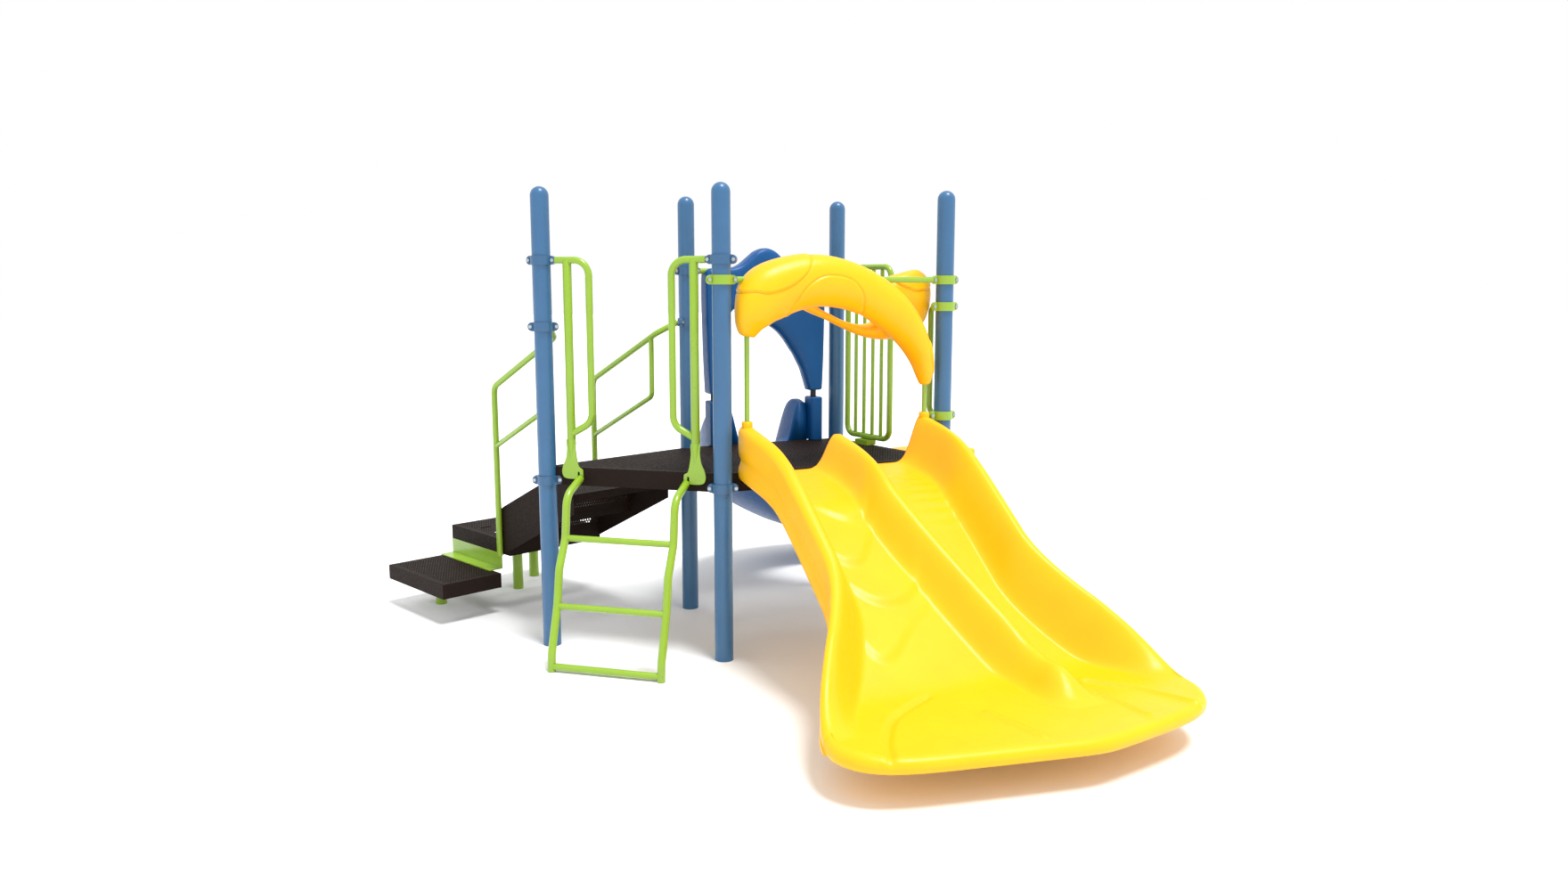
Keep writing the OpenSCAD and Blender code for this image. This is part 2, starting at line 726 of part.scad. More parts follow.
module slide_bolts() {
    head_h = 7;
    color(zinc) for (x = slide_bolt_x) translate([slide_cx + x, sheet_t + fit, slide_bolt_z])
        rotate([90, 0, 0]) {
            cylinder(d = bolt_d, h = slide_bolt_l);
            translate([0, 0, -head_h]) cylinder(d = bolt_d * 1.8, h = head_h);
        }
}

// ---- Slide hood ----

// Point and radii of a smooth path through the rows of p, at t counted in rows
function through(p, t) = let(
    i = min(len(p) - 2, floor(t)), f = t - i,
    a = p[max(0, i - 1)], b = p[i], c = p[i + 1], d = p[min(len(p) - 1, i + 2)]
) (2 * b + (c - a) * f + (2 * a - 5 * b + 4 * c - d) * f * f + (3 * b - a - 3 * c + d) * f * f * f) / 2;

// The arch from the low left foot to the right foot: place across from the slide's middle, height
// over the deck, place out from the deck, half depth, and half height square to the path
foot_x = slide_hw;
pole_y = -pole_d / 2 - 3;
hood_path = [
    [-foot_x, 676, pole_y, 24, 24], [-foot_x + 8, 741, -20, 66, 66], [-420, 851, 10, 120, 100],
    [-280, 916, 30, 145, 105], [-90, 906, 40, 155, 110], [110, 851, 45, 155, 105],
    [290, 776, 40, 140, 95], [405, 671, 20, 110, 75], [foot_x - 22, 536, 0, 70, 52],
    [foot_x - 4, 436, pole_y, 40, 36], [foot_x, 404, pole_y, 16, 16]
];

function hood_ring(t, m) = let(
    last = len(hood_path) - 1,
    p = through(hood_path, t),
    q = through(hood_path, min(last, t + 0.05)) - through(hood_path, max(0, t - 0.05)),
    side = unit([-q[1], q[0]])
) [
    for (k = [0:m - 1]) let(a = -360 * k / m) [
        slide_cx + p[0] + side.x * p[4] * sin(a),
        p[2] - p[3] * cos(a),
        deck_z + p[1] + side.y * p[4] * sin(a)
    ]
];

module slide_hood() {
    color(yellow) welded() difference() {
        skin([for (i = [0:2 * (len(hood_path) - 1)]) hood_ring(i / 2, 24)]);
        translate([0, 0, slide_bar_z]) rotate([0, 90, 0])
            cylinder(d = (slide_bar_d + 2 * fit) / cos(180 / pipe_sides), h = deck_front, $fn = pipe_sides);
    }
}

// Two poles from the slide's horns up to the hood's feet
module hood_poles() {
    base = top_z(0, 1) + fit;
    ends = [hood_path[0], hood_path[len(hood_path) - 1]];
    color(green) for (e = ends)
        translate([slide_cx + e[0], pole_y, base]) cylinder(d = pole_d, h = deck_z + e[1] - e[4] - fit - base);
}

module slide_bar() {
    color(green) clear_of(post_C, ear_seat_r) clear_of(post_E, ear_seat_r)
        translate([0, 0, slide_bar_z]) rotate([0, 90, 0]) cylinder(d = slide_bar_d, h = deck_front);
}

// ---- Barrier bay, in the frame of bay D-E ----

barrier_x = 113;
barrier_low = deck_z + barrier_up;

module barrier_frame() {
    mid = barrier_x + barrier_w / 2;
    color(green) bay(post_D, post_E) welded() clear_of([0, 0], ear_seat_r) {
        pipe([
            [mid + 1, 0, barrier_top], [barrier_x, 0, barrier_top], [barrier_x, 0, barrier_low],
            [barrier_x + barrier_w, 0, barrier_low], [barrier_x + barrier_w, 0, barrier_top],
            [mid - 1, 0, barrier_top]
        ], barrier_d, 55);
        for (z = barrier_clamp_z) pipe([[0, 0, z], [barrier_x, 0, z]], barrier_d * 0.7);
    }
}

module barrier_bars() {
    gap = barrier_w / (bar_count + 1);
    color(green) bay(post_D, post_E) for (i = [1:bar_count])
        translate([barrier_x + i * gap, 0, barrier_low + barrier_d / 2])
            cylinder(d = bar_d, h = barrier_top - barrier_low - barrier_d);
}

module barrier_foot() {
    color(green) bay(post_D, post_E) translate([barrier_x + barrier_w / 2 - 55, -50, deck_z + fit])
        cube([110, 62, barrier_up - barrier_d / 2 - 2 * fit]);
}

module loop_rail() {
    x = 100;
    color(green) bay(post_E, post_D) welded() clear_of([0, 0], seat_r) pipe([
        [0, 0, loop_top_z], [x, 0, loop_top_z], [x, 0, loop_low_z], [0, 0, loop_low_z]
    ], slide_bar_d, 40);
}

step_x = deck_side - step_in - step_l;

module side_step() {
    color(yellow) bay(post_D, post_E) translate([step_x, fit, deck_z - step_h])
        cube([step_l, step_out, step_h]);
}

module side_step_leg() {
    color(green) bay(post_D, post_E) translate([step_x + step_l / 2, step_out * 0.6, 0])
        cylinder(d = leg_d, h = deck_z - step_h - fit);
}

// ---- Rear slide ----

rear_y = bay_depth + fit;
turn_l = rear_turn * PI / 2;
rear_l = rear_lead + turn_l + rear_out;

// Middle line in plan at distance s from the deck, and its heading from +Y towards +X
function rear_heading(s) = 90 * min(1, max(0, (s - rear_lead) / turn_l));
function rear_mid(s) = let(h = rear_heading(s), past = max(0, s - rear_lead - turn_l)) [
    slide_cx + rear_turn * (1 - cos(h)) + past,
    rear_y + min(s, rear_lead) + rear_turn * sin(h)
];
// The bed is level as far as rear_level and again over the last rear_flat
rear_level = 60;
rear_flat = 500;
function rear_bed(s) = let(drop = (deck_z - rear_exit_z) / (rear_l - rear_level - rear_flat)) soft_max(
    soft_min(deck_z, deck_z - (s - rear_level) * drop, 22), rear_exit_z, 22
);
function rear_wall_h(s) = 10 + (rear_wall - 10) * (1 - ease(rear_l - 350, rear_l, s));

rear_r = 24;
rear_floor = 34;

function rear_ring(s, n) = let(
    m = rear_mid(s), h = rear_heading(s), z = rear_bed(s), wall = rear_wall_h(s), r = rear_r,
    corner = [rear_hw + r * 0.95, 12 - rear_floor]
) [
    for (p = concat(
        [for (k = [0:n]) let(x = rear_hw * (2 * k / n - 1)) [x, wall * bank(rear_hw - abs(x), 170)]],
        [for (a = [60, 30, 0]) [rear_hw + r * cos(a), wall - r * (1 - sin(a))]],
        [corner],
        [for (k = [n:-1:0]) [rear_hw * (2 * k / n - 1), -rear_floor]],
        [[-corner.x, corner.y]],
        [for (a = [0, 30, 60]) [-rear_hw - r * cos(a), wall - r * (1 - sin(a))]]
    )) [m.x + p.x * cos(h), m.y - p.x * sin(h), z + p.y]
];

module rear_slide() {
    n = 14;
    color(blue) skin([for (j = [0:30]) rear_ring(rear_l * j / 30, n)], n);
}

rear_col_w = 74;
rear_pin = rear_hw + rear_r + fit + rear_col_w / 2;
rear_pin_x = [deck_side / 2 - rear_pin, deck_side / 2 + rear_pin];

module rear_columns() {
    color(blue) bay(post_B, post_D) for (x = rear_pin_x)
        translate([x - rear_col_w / 2, -60, deck_z + fit]) cube([rear_col_w, 110, rear_col_h]);
}

module rear_hood_pins() {
    z = deck_z + fit + rear_col_h;
    color(black) bay(post_B, post_D) for (x = rear_pin_x)
        translate([x, 0, z]) cylinder(d = 34, h = rear_hood_foot - z);
}

module rear_slide_leg() {
    s = rear_l - 260;
    m = rear_mid(s);
    color(green) translate([m.x, m.y, 0]) cylinder(d = leg_d, h = rear_bed(s + leg_d) - rear_floor - fit);
}

// Half of the rear hood's outline, and the whole of its opening, which leans towards post B: place
// from the middle of the bay, height above the deck
hood_side_x = rear_pin + rear_col_w / 2;
rear_leg_w = 84;
rear_hood_outline = [
    [0, rear_hood_h], [120, rear_hood_h - 33], [210, rear_hood_h - 108],
    [hood_side_x - 24, rear_hood_h - 118],
    [hood_side_x + 16, rear_hood_h - 153], [hood_side_x + 12, 586], [hood_side_x, rear_foot_up]
];
rear_hood_opening = [
    [rear_leg_w - hood_side_x, rear_foot_up - 1], [rear_leg_w - hood_side_x + 14, 520],
    [rear_leg_w - hood_side_x + 40, 710], [-180, 757], [-90, 728], [25, 660],
    [82, 617], [hood_side_x - rear_leg_w - 98, 535], [hood_side_x - rear_leg_w - 45, 417],
    [hood_side_x - rear_leg_w, rear_foot_up - 1]
];
rear_hood_d = 120;

// The outline that a half outline from the middle makes with its mirror image
function both_sides(half) =
    concat([for (i = [len(half) - 1:-1:1]) [-half[i].x, half[i].y]], half);

module rear_hood() {
    color(blue) bay(post_B, post_D) difference() {
        translate([deck_side / 2, rear_hood_d / 2, deck_z]) rotate([90, 0, 0])
            linear_extrude(rear_hood_d) difference() {
                polygon(both_sides(rear_hood_outline));
                polygon(rear_hood_opening);
            }
        translate([0, 0, rear_bar_z]) rotate([0, 90, 0])
            cylinder(d = slide_bar_d + 2 * fit, h = deck_side);
    }
}

module rear_bar() {
    color(green) clear_of(post_B, ear_seat_r) clear_of(post_D, ear_seat_r) bay(post_B, post_D)
        translate([0, 0, rear_bar_z]) rotate([0, 90, 0]) cylinder(d = slide_bar_d, h = deck_side);
}

// ---- Nodes ----

post(post_A);  // post_a
post(post_B);  // post_b
post(post_C);  // post_c
post(post_D);  // post_d
post(post_E);  // post_e
post_caps();
deck_triangle();
deck_main();
color(steel_blue) clamps(deck_clamp_list);  // deck_clamps
color(steel_blue) clamps(enclosure_clamp_list);  // enclosure_clamps
enclosure_left();
enclosure_right();
enclosure_foot_plates();
ladder_rail_left();
ladder_rail_right();
ladder_rungs();
stair_stringers();
stair_treads();
stair_risers();
stair_platform();
stair_legs();
lower_tread();
step_bracket();
color(steel_blue) clamps(handrail_clamp_list);  // handrail_clamps
handrail_near();
handrail_far();
double_slide();
slide_exit_leg();
slide_hood();
hood_poles();
slide_bar();
color(green) clamps(slide_bar_clamp_list);  // slide_bar_clamps
barrier_frame();
barrier_bars();
barrier_foot();
color(green) clamps(barrier_clamp_list);  // barrier_clamps
loop_rail();
color(green) clamps(loop_clamp_list);  // loop_clamps
side_step();
side_step_leg();
rear_slide();
rear_columns();
rear_slide_leg();
rear_hood();
rear_hood_pins();
rear_bar();
color(steel_blue) clamps(rear_bar_clamp_list);  // rear_bar_clamps
clamp_bolts();
slide_bolts();
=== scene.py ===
import json
import math

import bpy
import numpy as np
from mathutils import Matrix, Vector
from mathutils.geometry import delaunay_2d_cdt


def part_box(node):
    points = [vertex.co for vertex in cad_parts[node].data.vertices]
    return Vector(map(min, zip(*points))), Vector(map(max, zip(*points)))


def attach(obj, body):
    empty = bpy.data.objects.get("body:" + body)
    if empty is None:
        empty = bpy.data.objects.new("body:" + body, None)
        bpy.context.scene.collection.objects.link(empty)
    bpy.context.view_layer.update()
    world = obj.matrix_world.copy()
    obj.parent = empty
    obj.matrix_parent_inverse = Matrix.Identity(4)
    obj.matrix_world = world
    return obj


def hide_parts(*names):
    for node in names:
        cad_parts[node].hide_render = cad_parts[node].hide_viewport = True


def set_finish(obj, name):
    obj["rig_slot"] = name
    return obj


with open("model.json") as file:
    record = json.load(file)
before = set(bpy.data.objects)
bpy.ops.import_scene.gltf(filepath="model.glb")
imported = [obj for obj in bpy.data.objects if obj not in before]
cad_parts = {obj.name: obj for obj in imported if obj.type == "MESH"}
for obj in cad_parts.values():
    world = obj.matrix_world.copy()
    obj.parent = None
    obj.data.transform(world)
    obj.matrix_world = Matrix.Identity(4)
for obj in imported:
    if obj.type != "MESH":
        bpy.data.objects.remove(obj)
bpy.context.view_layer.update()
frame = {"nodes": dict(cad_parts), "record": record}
cadNodes = frame["nodes"]
scene = bpy.context.scene
scene.view_settings.view_transform = "Standard"
print("frame loaded:", len(cadNodes), "CAD nodes")


# places that everything else is measured from
def middleOf(node):
    low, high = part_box(node)
    return np.array((low + high) / 2)


posts = {name: middleOf("post_" + name)[:2] for name in "abcde"}
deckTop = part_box("deck_main")[1].z
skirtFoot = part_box("deck_main")[0].z
bayLong = float(posts["e"][0] - posts["c"][0])
bayShort = float(np.linalg.norm(posts["b"] - posts["c"]))
slideMiddle = bayLong / 2
# the hair's breadth between pieces that touch
touchGap = 0.0003
pipeSettings = {"sides": 32, "bendStep": 6.0, "clampReach": 0.0755}


def unit(v):
    return v / np.linalg.norm(v)


def inBay(start, end, points, mirrored=False):
    # x along the bay, y to the left of it, z up
    along = unit(posts[end] - posts[start])
    left = np.array((-along[1], along[0]))
    points = np.atleast_2d(np.asarray(points, float))
    x = bayShort - points[:, 0] if mirrored else points[:, 0]
    plan = posts[start] + x[:, None] * along + points[:, 1:2] * left
    return np.column_stack((plan, points[:, 2]))


def ease(low, high, x):
    t = np.clip((x - low) / (high - low), 0, 1)
    return t * t * (3 - 2 * t)


def softMin(a, b, k):
    return (a + b) / 2 - np.sqrt(((a - b) / 2) ** 2 + k * k)


def softMax(a, b, k):
    return (a + b) / 2 + np.sqrt(((a - b) / 2) ** 2 + k * k)


def bank(distance, width):
    # 1 at no distance, falling as a cosine to 0 at the width
    return np.where(np.abs(distance) < width, (1 + np.cos(np.pi * distance / width)) / 2, 0)


# finishes

def newFinish(name, roughness, metallic=0.0, coat=0.0):
    material = bpy.data.materials.new(name)
    material.use_nodes = True
    tree = material.node_tree
    shader = tree.nodes["Principled BSDF"]
    shader.inputs["Roughness"].default_value = roughness
    shader.inputs["Metallic"].default_value = metallic
    shader.inputs["Coat Weight"].default_value = coat
    place = tree.nodes.new("ShaderNodeTexCoord").outputs["Object"]
    return material, tree, shader, place


def noise(tree, place, scale, detail=3.0):
    node = tree.nodes.new("ShaderNodeTexNoise")
    node.inputs["Scale"].default_value = scale
    node.inputs["Detail"].default_value = detail
    node.inputs["Roughness"].default_value = 0.55
    tree.links.new(place, node.inputs["Vector"])
    return node.outputs["Fac"]


# the part of a noise's range that colours and roughness are spread over
noiseLow, noiseHigh = 0.3, 0.7


def between(tree, value, low, high):
    node = tree.nodes.new("ShaderNodeMapRange")
    node.inputs["From Min"].default_value = noiseLow
    node.inputs["From Max"].default_value = noiseHigh
    node.inputs["To Min"].default_value = low
    node.inputs["To Max"].default_value = high
    tree.links.new(value, node.inputs["Value"])
    return node.outputs["Result"]


def blendColours(tree, factor, first, second):
    node = tree.nodes.new("ShaderNodeValToRGB")
    node.color_ramp.elements[0].position = noiseLow
    node.color_ramp.elements[1].position = noiseHigh
    node.color_ramp.elements[0].color = (*first, 1)
    node.color_ramp.elements[1].color = (*second, 1)
    tree.links.new(factor, node.inputs["Fac"])
    return node.outputs["Color"]


def roughen(tree, shader, height, strength, distance):
    node = tree.nodes.new("ShaderNodeBump")
    node.inputs["Strength"].default_value = strength
    node.inputs["Distance"].default_value = distance
    tree.links.new(height, node.inputs["Height"])
    tree.links.new(node.outputs["Normal"], shader.inputs["Normal"])


def linear(r, g, b):
    # screen colour to the linear light that shaders take
    c = np.array((r, g, b)) / 255
    return tuple(float(v) for v in np.where(c < 0.04045, c / 12.92, ((c + 0.055) / 1.055) ** 2.4))


def tinted(colour, factor):
    return tuple(min(1.0, v * factor) for v in colour)


def mouldedPlastic(name, colour, shade, roughness=0.4, glow=0.0):
    # rotomoulded polyethylene: an even colour with slow clouding and a very fine orange peel
    material, tree, shader, place = newFinish(name, roughness)
    shader.inputs["Specular IOR Level"].default_value = 0.3
    clouds = noise(tree, place, 5.0, 4.0)
    tree.links.new(blendColours(tree, clouds, shade, colour), shader.inputs["Base Color"])
    tree.links.new(between(tree, noise(tree, place, 34.0), roughness - 0.05, roughness + 0.07),
                   shader.inputs["Roughness"])
    roughen(tree, shader, noise(tree, place, 420.0, 2.0), 0.12, 0.0006)
    if glow:
        shader.inputs["Subsurface Weight"].default_value = glow
        shader.inputs["Subsurface Radius"].default_value = (0.03, 0.02, 0.004)
        shader.inputs["Subsurface Scale"].default_value = 0.4
    return material


def powderCoat(name, colour, shade, roughness=0.33, coat=0.35):
    # baked powder coat on steel: glossy, with a faint orange peel and slow shifts of tone
    material, tree, shader, place = newFinish(name, roughness, coat=coat)
    shader.inputs["Coat Roughness"].default_value = 0.18
    tree.links.new(blendColours(tree, noise(tree, place, 7.0), shade, colour), shader.inputs["Base Color"])
    tree.links.new(between(tree, noise(tree, place, 60.0), roughness - 0.04, roughness + 0.08),
                   shader.inputs["Roughness"])
    roughen(tree, shader, noise(tree, place, 700.0, 2.0), 0.15, 0.0004)
    return material


def dippedCoat(name, colour, shade):
    # thick vinyl dip on sheet steel: matt, with a pebbled skin
    material, tree, shader, place = newFinish(name, 0.62)
    shader.inputs["Specular IOR Level"].default_value = 0.12
    clouds = noise(tree, place, 9.0, 4.0)
    tree.links.new(blendColours(tree, clouds, shade, colour), shader.inputs["Base Color"])
    tree.links.new(between(tree, noise(tree, place, 90.0), 0.52, 0.72), shader.inputs["Roughness"])
    roughen(tree, shader, noise(tree, place, 520.0, 3.0), 0.35, 0.0007)
    return material


def platedSteel(name, colour, shade):
    material, tree, shader, place = newFinish(name, 0.38, metallic=1.0)
    tree.links.new(blendColours(tree, noise(tree, place, 160.0), shade, colour), shader.inputs["Base Color"])
    tree.links.new(between(tree, noise(tree, place, 300.0), 0.3, 0.5), shader.inputs["Roughness"])
    return material


postBlue = linear(48, 100, 144)
plasticBlue = linear(6, 80, 142)
brightGreen = linear(140, 178, 38)
slideYellow = linear(255, 188, 14)
deckBrown = linear(33, 22, 17)
finishes = {
    "post_blue": powderCoat("postBlue", postBlue, tinted(postBlue, 0.9), 0.36, 0.25),
    "clamp_blue": powderCoat("clampBlue", tinted(postBlue, 0.86), tinted(postBlue, 0.76)),
    "deck_brown": dippedCoat("deckBrown", deckBrown, tinted(deckBrown, 0.78)),
    "yellow_plastic": mouldedPlastic("yellowPlastic", slideYellow, tinted(slideYellow, 0.94), 0.36, 0.12),
    "blue_plastic": mouldedPlastic("bluePlastic", plasticBlue, tinted(plasticBlue, 0.88), 0.4),
    "green_pipe": powderCoat("greenPipe", brightGreen, tinted(brightGreen, 0.92), 0.3, 0.45),
    "black_steel": powderCoat("blackSteel", linear(34, 34, 36), linear(24, 24, 26), 0.4, 0.1),
    "zinc_bolt": platedSteel("zincBolt", linear(190, 194, 198), linear(160, 165, 170)),
}
for part in frame["record"]["subparts"]:
    node = cadNodes[part["node"]]
    node.data.materials.clear()
    node.data.materials.append(finishes[part["material_slot"]])
print("finishes:", len(finishes))


# meshes

def gridFaces(rows, columns):
    # quads between neighbouring rings of one grid of points
    r = np.arange(rows - 1)[:, None] * columns
    c = np.arange(columns)[None, :]
    n = (c + 1) % columns
    return np.stack((r + c, r + n, r + columns + n, r + columns + c), -1).reshape(-1, 4)


def plugged(rings, sides):
    # the quads of a tube of rings, and a face over both ends
    ends = [list(range(sides))[::-1], list(range((rings - 1) * sides, rings * sides))]
    return gridFaces(rings, sides).tolist() + ends


def troughFaces(count, size, across, rimSize):
    # the quads of a trough, and its two ends: strips from the floor down to the underside, then the rims
    low = 2 * across + 1 + rimSize
    cap = [[k, k + 1, low - k - 1, low - k] for k in range(across)]
    cap += [list(range(across, low - across + 1)), list(range(low, size)) + [0]]
    last = (count - 1) * size
    ends = [loop[::-1] for loop in cap] + [[last + i for i in loop] for loop in cap]
    return gridFaces(count, size).tolist() + ends


def spline(a, b, c, d, t):
    # the smooth curve from b to c, with a and d the points before and after
    return (2 * b + (c - a) * t + (2 * a - 5 * b + 4 * c - d) * t**2 + (3 * b - a - 3 * c + d) * t**3) / 2


def smoothLoop(points, steps):
    # a closed curve through all the points
    p = np.asarray(points, float)
    t = np.linspace(0, 1, steps, endpoint=False)[:, None]
    return np.vstack([spline(p[i - 1], p[i], p[(i + 1) % len(p)], p[(i + 2) % len(p)], t)
                      for i in range(len(p))])


def squareRound(angle, power):
    # cosine and sine of a round section, flattened towards a square by a power below one
    return tuple(np.sign(f(angle)) * np.abs(f(angle)) ** power for f in (np.cos, np.sin))


def meshValues(source, field):
    values = np.empty(len(source) * 3, np.float32)
    source.foreach_get(field, values)
    return values.reshape(-1, 3).astype(float)


def makePiece(name, points, faces, nodeName, slot, smooth=True):
    mesh = bpy.data.meshes.new(name)
    mesh.from_pydata(np.asarray(points).reshape(-1, 3).tolist(), [], faces)
    mesh.validate()
    mesh.shade_smooth() if smooth else mesh.shade_flat()
    piece = bpy.data.objects.new(name, mesh)
    scene.collection.objects.link(piece)
    piece.data.materials.append(finishes[slot])
    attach(piece, "root")
    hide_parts(nodeName)
    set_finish(piece, slot)
    return piece


def addModifier(piece, kind, **settings):
    modifier = piece.modifiers.new(kind.title(), kind)
    for key, value in settings.items():
        setattr(modifier, key, value)
    return modifier


def roundedPath(corners, bend):
    # straight runs joined by arcs that touch both runs, as a tube bender makes them
    corners = np.asarray(corners, float)
    line = [corners[0]]
    for before, here, after in zip(corners, corners[1:], corners[2:]):
        a, b = unit(before - here), unit(after - here)
        opening = math.acos(float(np.clip(a @ b, -1, 1)))
        if opening > math.pi - 0.01:
            line.append(here)
            continue
        reach = bend / math.tan(opening / 2)
        centre = here + unit(a + b) * bend / math.sin(opening / 2)
        start, end = here + a * reach - centre, here + b * reach - centre
        sweep = math.pi - opening
        t = np.linspace(0, 1, max(2, int(math.degrees(sweep) / pipeSettings["bendStep"]) + 1))[:, None]
        line.extend(centre + (np.sin((1 - t) * sweep) * start + np.sin(t * sweep) * end) / math.sin(sweep))
    line.append(corners[-1])
    return np.array(line)


def tubeAlong(line, radius, closed=False):
    # a circle carried along the line, with round-edged plugs at open ends
    count = len(line)
    ahead = np.roll(line, -1, 0) - line
    behind = line - np.roll(line, 1, 0)
    if not closed:
        ahead[-1], behind[0] = behind[-1], ahead[0]
    ways = ahead / np.linalg.norm(ahead, axis=1)[:, None] + behind / np.linalg.norm(behind, axis=1)[:, None]
    ways /= np.linalg.norm(ways, axis=1)[:, None]
    side = np.array((0, 0, 1.0)) if abs(ways[0][2]) < 0.9 else np.array((0, 1.0, 0))
    sides = []
    for way in ways:
        side = unit(side - (side @ way) * way)
        sides.append(side)
    sides = np.array(sides)
    if not closed:
        lip = min(0.0012, radius * 0.2)
        line = np.vstack((line[:1], line[:1] + ways[0] * lip * 0.3, line[:1] + ways[0] * lip, line[1:-1],
                          line[-1:] - ways[-1] * lip, line[-1:] - ways[-1] * lip * 0.3, line[-1:]))
        ways = np.vstack((ways[:1], ways[:1], ways, ways[-1:], ways[-1:]))
        sides = np.vstack((sides[:1], sides[:1], sides, sides[-1:], sides[-1:]))
        radii = np.full(len(line), radius)
        radii[[0, -1]] -= lip
        radii[[1, -2]] -= lip * 0.3
    else:
        radii = np.full(count, radius)
    angle = np.linspace(0, 2 * np.pi, pipeSettings["sides"], endpoint=False)
    ring = (np.cos(angle)[None, :, None] * sides[:, None] +
            np.sin(angle)[None, :, None] * np.cross(ways, sides)[:, None])
    points = (line[:, None] + radii[:, None, None] * ring).reshape(-1, 3)
    n, m = len(line), pipeSettings["sides"]
    if not closed:
        return points, plugged(n, m)
    here, after = np.arange(m), np.roll(np.arange(m), -1)
    wrap = np.stack((here + (n - 1) * m, after + (n - 1) * m, after, here), -1)
    return points, gridFaces(n, m).tolist() + wrap.tolist()


def melted(shells):
    # the points and faces of several shells as those of one mesh
    points, faces, offset = [], [], 0
    for ring, loops in shells:
        points.append(ring)
        faces += [[i + offset for i in loop] for loop in loops]
        offset += len(ring)
    return np.vstack(points), faces


def pipeWork(name, runs, nodeName):
    # runs: (corners, diameter, bend radius, closed)
    points, faces = melted([
        tubeAlong(closedLine(corners, bend) if closed else roundedPath(corners, bend), diameter / 2, closed)
        for corners, diameter, bend, closed in runs])
    makePiece(name, points, faces, nodeName, "green_pipe")


def closedLine(corners, bend):
    corners = np.asarray(corners, float)
    middle = (corners[0] + corners[1]) / 2
    return roundedPath(np.vstack((middle, corners[1:], corners[:1], middle)), bend)[:-1]


# pipe work of the ladder bay, stair and barrier

enclosure = {"upright": 0.135, "loop": 0.247, "loopFoot": 0.171, "uprightWidth": 0.042,
             "loopWidth": 0.034, "bend": 0.075, "plateTop": 0.141, "sweepUp": 0.055, "lap": 0.012}
clampReach = pipeSettings["clampReach"]
enclosureTop = middleOf("enclosure_clamps")[2]
loopZ = deckTop + enclosure["loopFoot"]
for label, mirrored in (("Left", True), ("Right", False)):
    loop = [(clampReach, 0, enclosureTop), (enclosure["loop"], 0, enclosureTop),
            (enclosure["loop"], 0, loopZ + enclosure["sweepUp"]),
            (enclosure["upright"] + enclosure["lap"], 0, loopZ)]
    upright = [(enclosure["upright"], 0, deckTop + enclosure["plateTop"]),
               (enclosure["upright"], 0, enclosureTop)]
    pipeWork("enclosure" + label, [
        (inBay("c", "a", loop, mirrored), enclosure["loopWidth"], enclosure["bend"], False),
        (inBay("c", "a", upright, mirrored), enclosure["uprightWidth"], 0, False),
    ], "enclosure_" + label.lower())

ladder = {"rail": 0.182, "railWidth": 0.038, "rungWidth": 0.031, "out": 0.375, "bend": 0.09,
          "skirtGap": 0.009, "rungs": (0.603, 0.297, 0.025),
          # (out, up) as parts of the ladder's reach and of the deck's height
          "profile": ((0, 0.945), (0.44, 0.88), (0.51, 0.66), (0.71, 0.51), (0.79, 0.33), (0.975, 0.1),
                      (1, 0))}
railSide = np.array(ladder["profile"]) * (ladder["out"], deckTop)
railSide[0] += (railSide[1] - railSide[0]) * ladder["skirtGap"] / railSide[1][0]
rail = np.column_stack((np.full(len(railSide), ladder["rail"]), railSide))
for label, mirrored in (("Left", True), ("Right", False)):
    run = (inBay("c", "a", rail, mirrored), ladder["railWidth"], ladder["bend"], False)
    pipeWork("ladderRail" + label, [run], "ladder_rail_" + label.lower())
rungRuns = []
for z in ladder["rungs"]:
    out = float(np.interp(z, railSide[::-1, 1], railSide[::-1, 0]))
    ends = [(ladder["rail"], out, z), (bayShort - ladder["rail"], out, z)]
    rungRuns.append((inBay("c", "a", ends), ladder["rungWidth"], 0, False))
pipeWork("ladderRungs", rungRuns, "ladder_rungs")

stair = {"stringer": 0.1515, "stringerT": 0.006, "going": 0.305, "length": 0.634, "platformZ": 0.397,
         "platformL": 0.64, "inner": 0.1548, "treadT": 0.04, "plankT": 0.08, "sheet": 0.004,
         "lowZ": 0.229, "lowW": 0.351, "lowAside": 0.047, "lowInset": 0.01}
hand = {"in": 0.1317, "newel": 0.701, "newelBend": 0.339, "slope": 0.485, "start": 0.105, "strut": 0.15,
        "strutLow": 0.28, "width": 0.033, "strutWidth": 0.028, "clampEnd": (0.0456, 0.0274),
        "newelFoot": 0.084, "bend": 0.06, "strutBend": 0.045}
handZ = middleOf("handrail_clamps")[2]
newelZ = deckTop + hand["newelBend"]
handTopZ = newelZ + (hand["newel"] - hand["start"]) * hand["slope"]
strutZ = deckTop + hand["strutLow"]
for label, mirrored in (("Near", False), ("Far", True)):
    upper = [(*hand["clampEnd"], handZ), (hand["in"], hand["start"], handTopZ),
             (hand["in"], hand["newel"], newelZ),
             (hand["in"], hand["newel"], stair["platformZ"] - hand["newelFoot"])]
    lower = [(hand["in"], hand["newel"], strutZ - (hand["newel"] - hand["strut"]) * hand["slope"]),
             (hand["in"], hand["strut"], strutZ),
             (hand["in"], hand["strut"], handTopZ - (hand["strut"] - hand["start"]) * hand["slope"])]
    pipeWork("handrail" + label, [
        (inBay("a", "b", upper, mirrored), hand["width"], hand["bend"], False),
        (inBay("a", "b", lower, mirrored), hand["strutWidth"], hand["strutBend"], False),
    ], "handrail_" + label.lower())

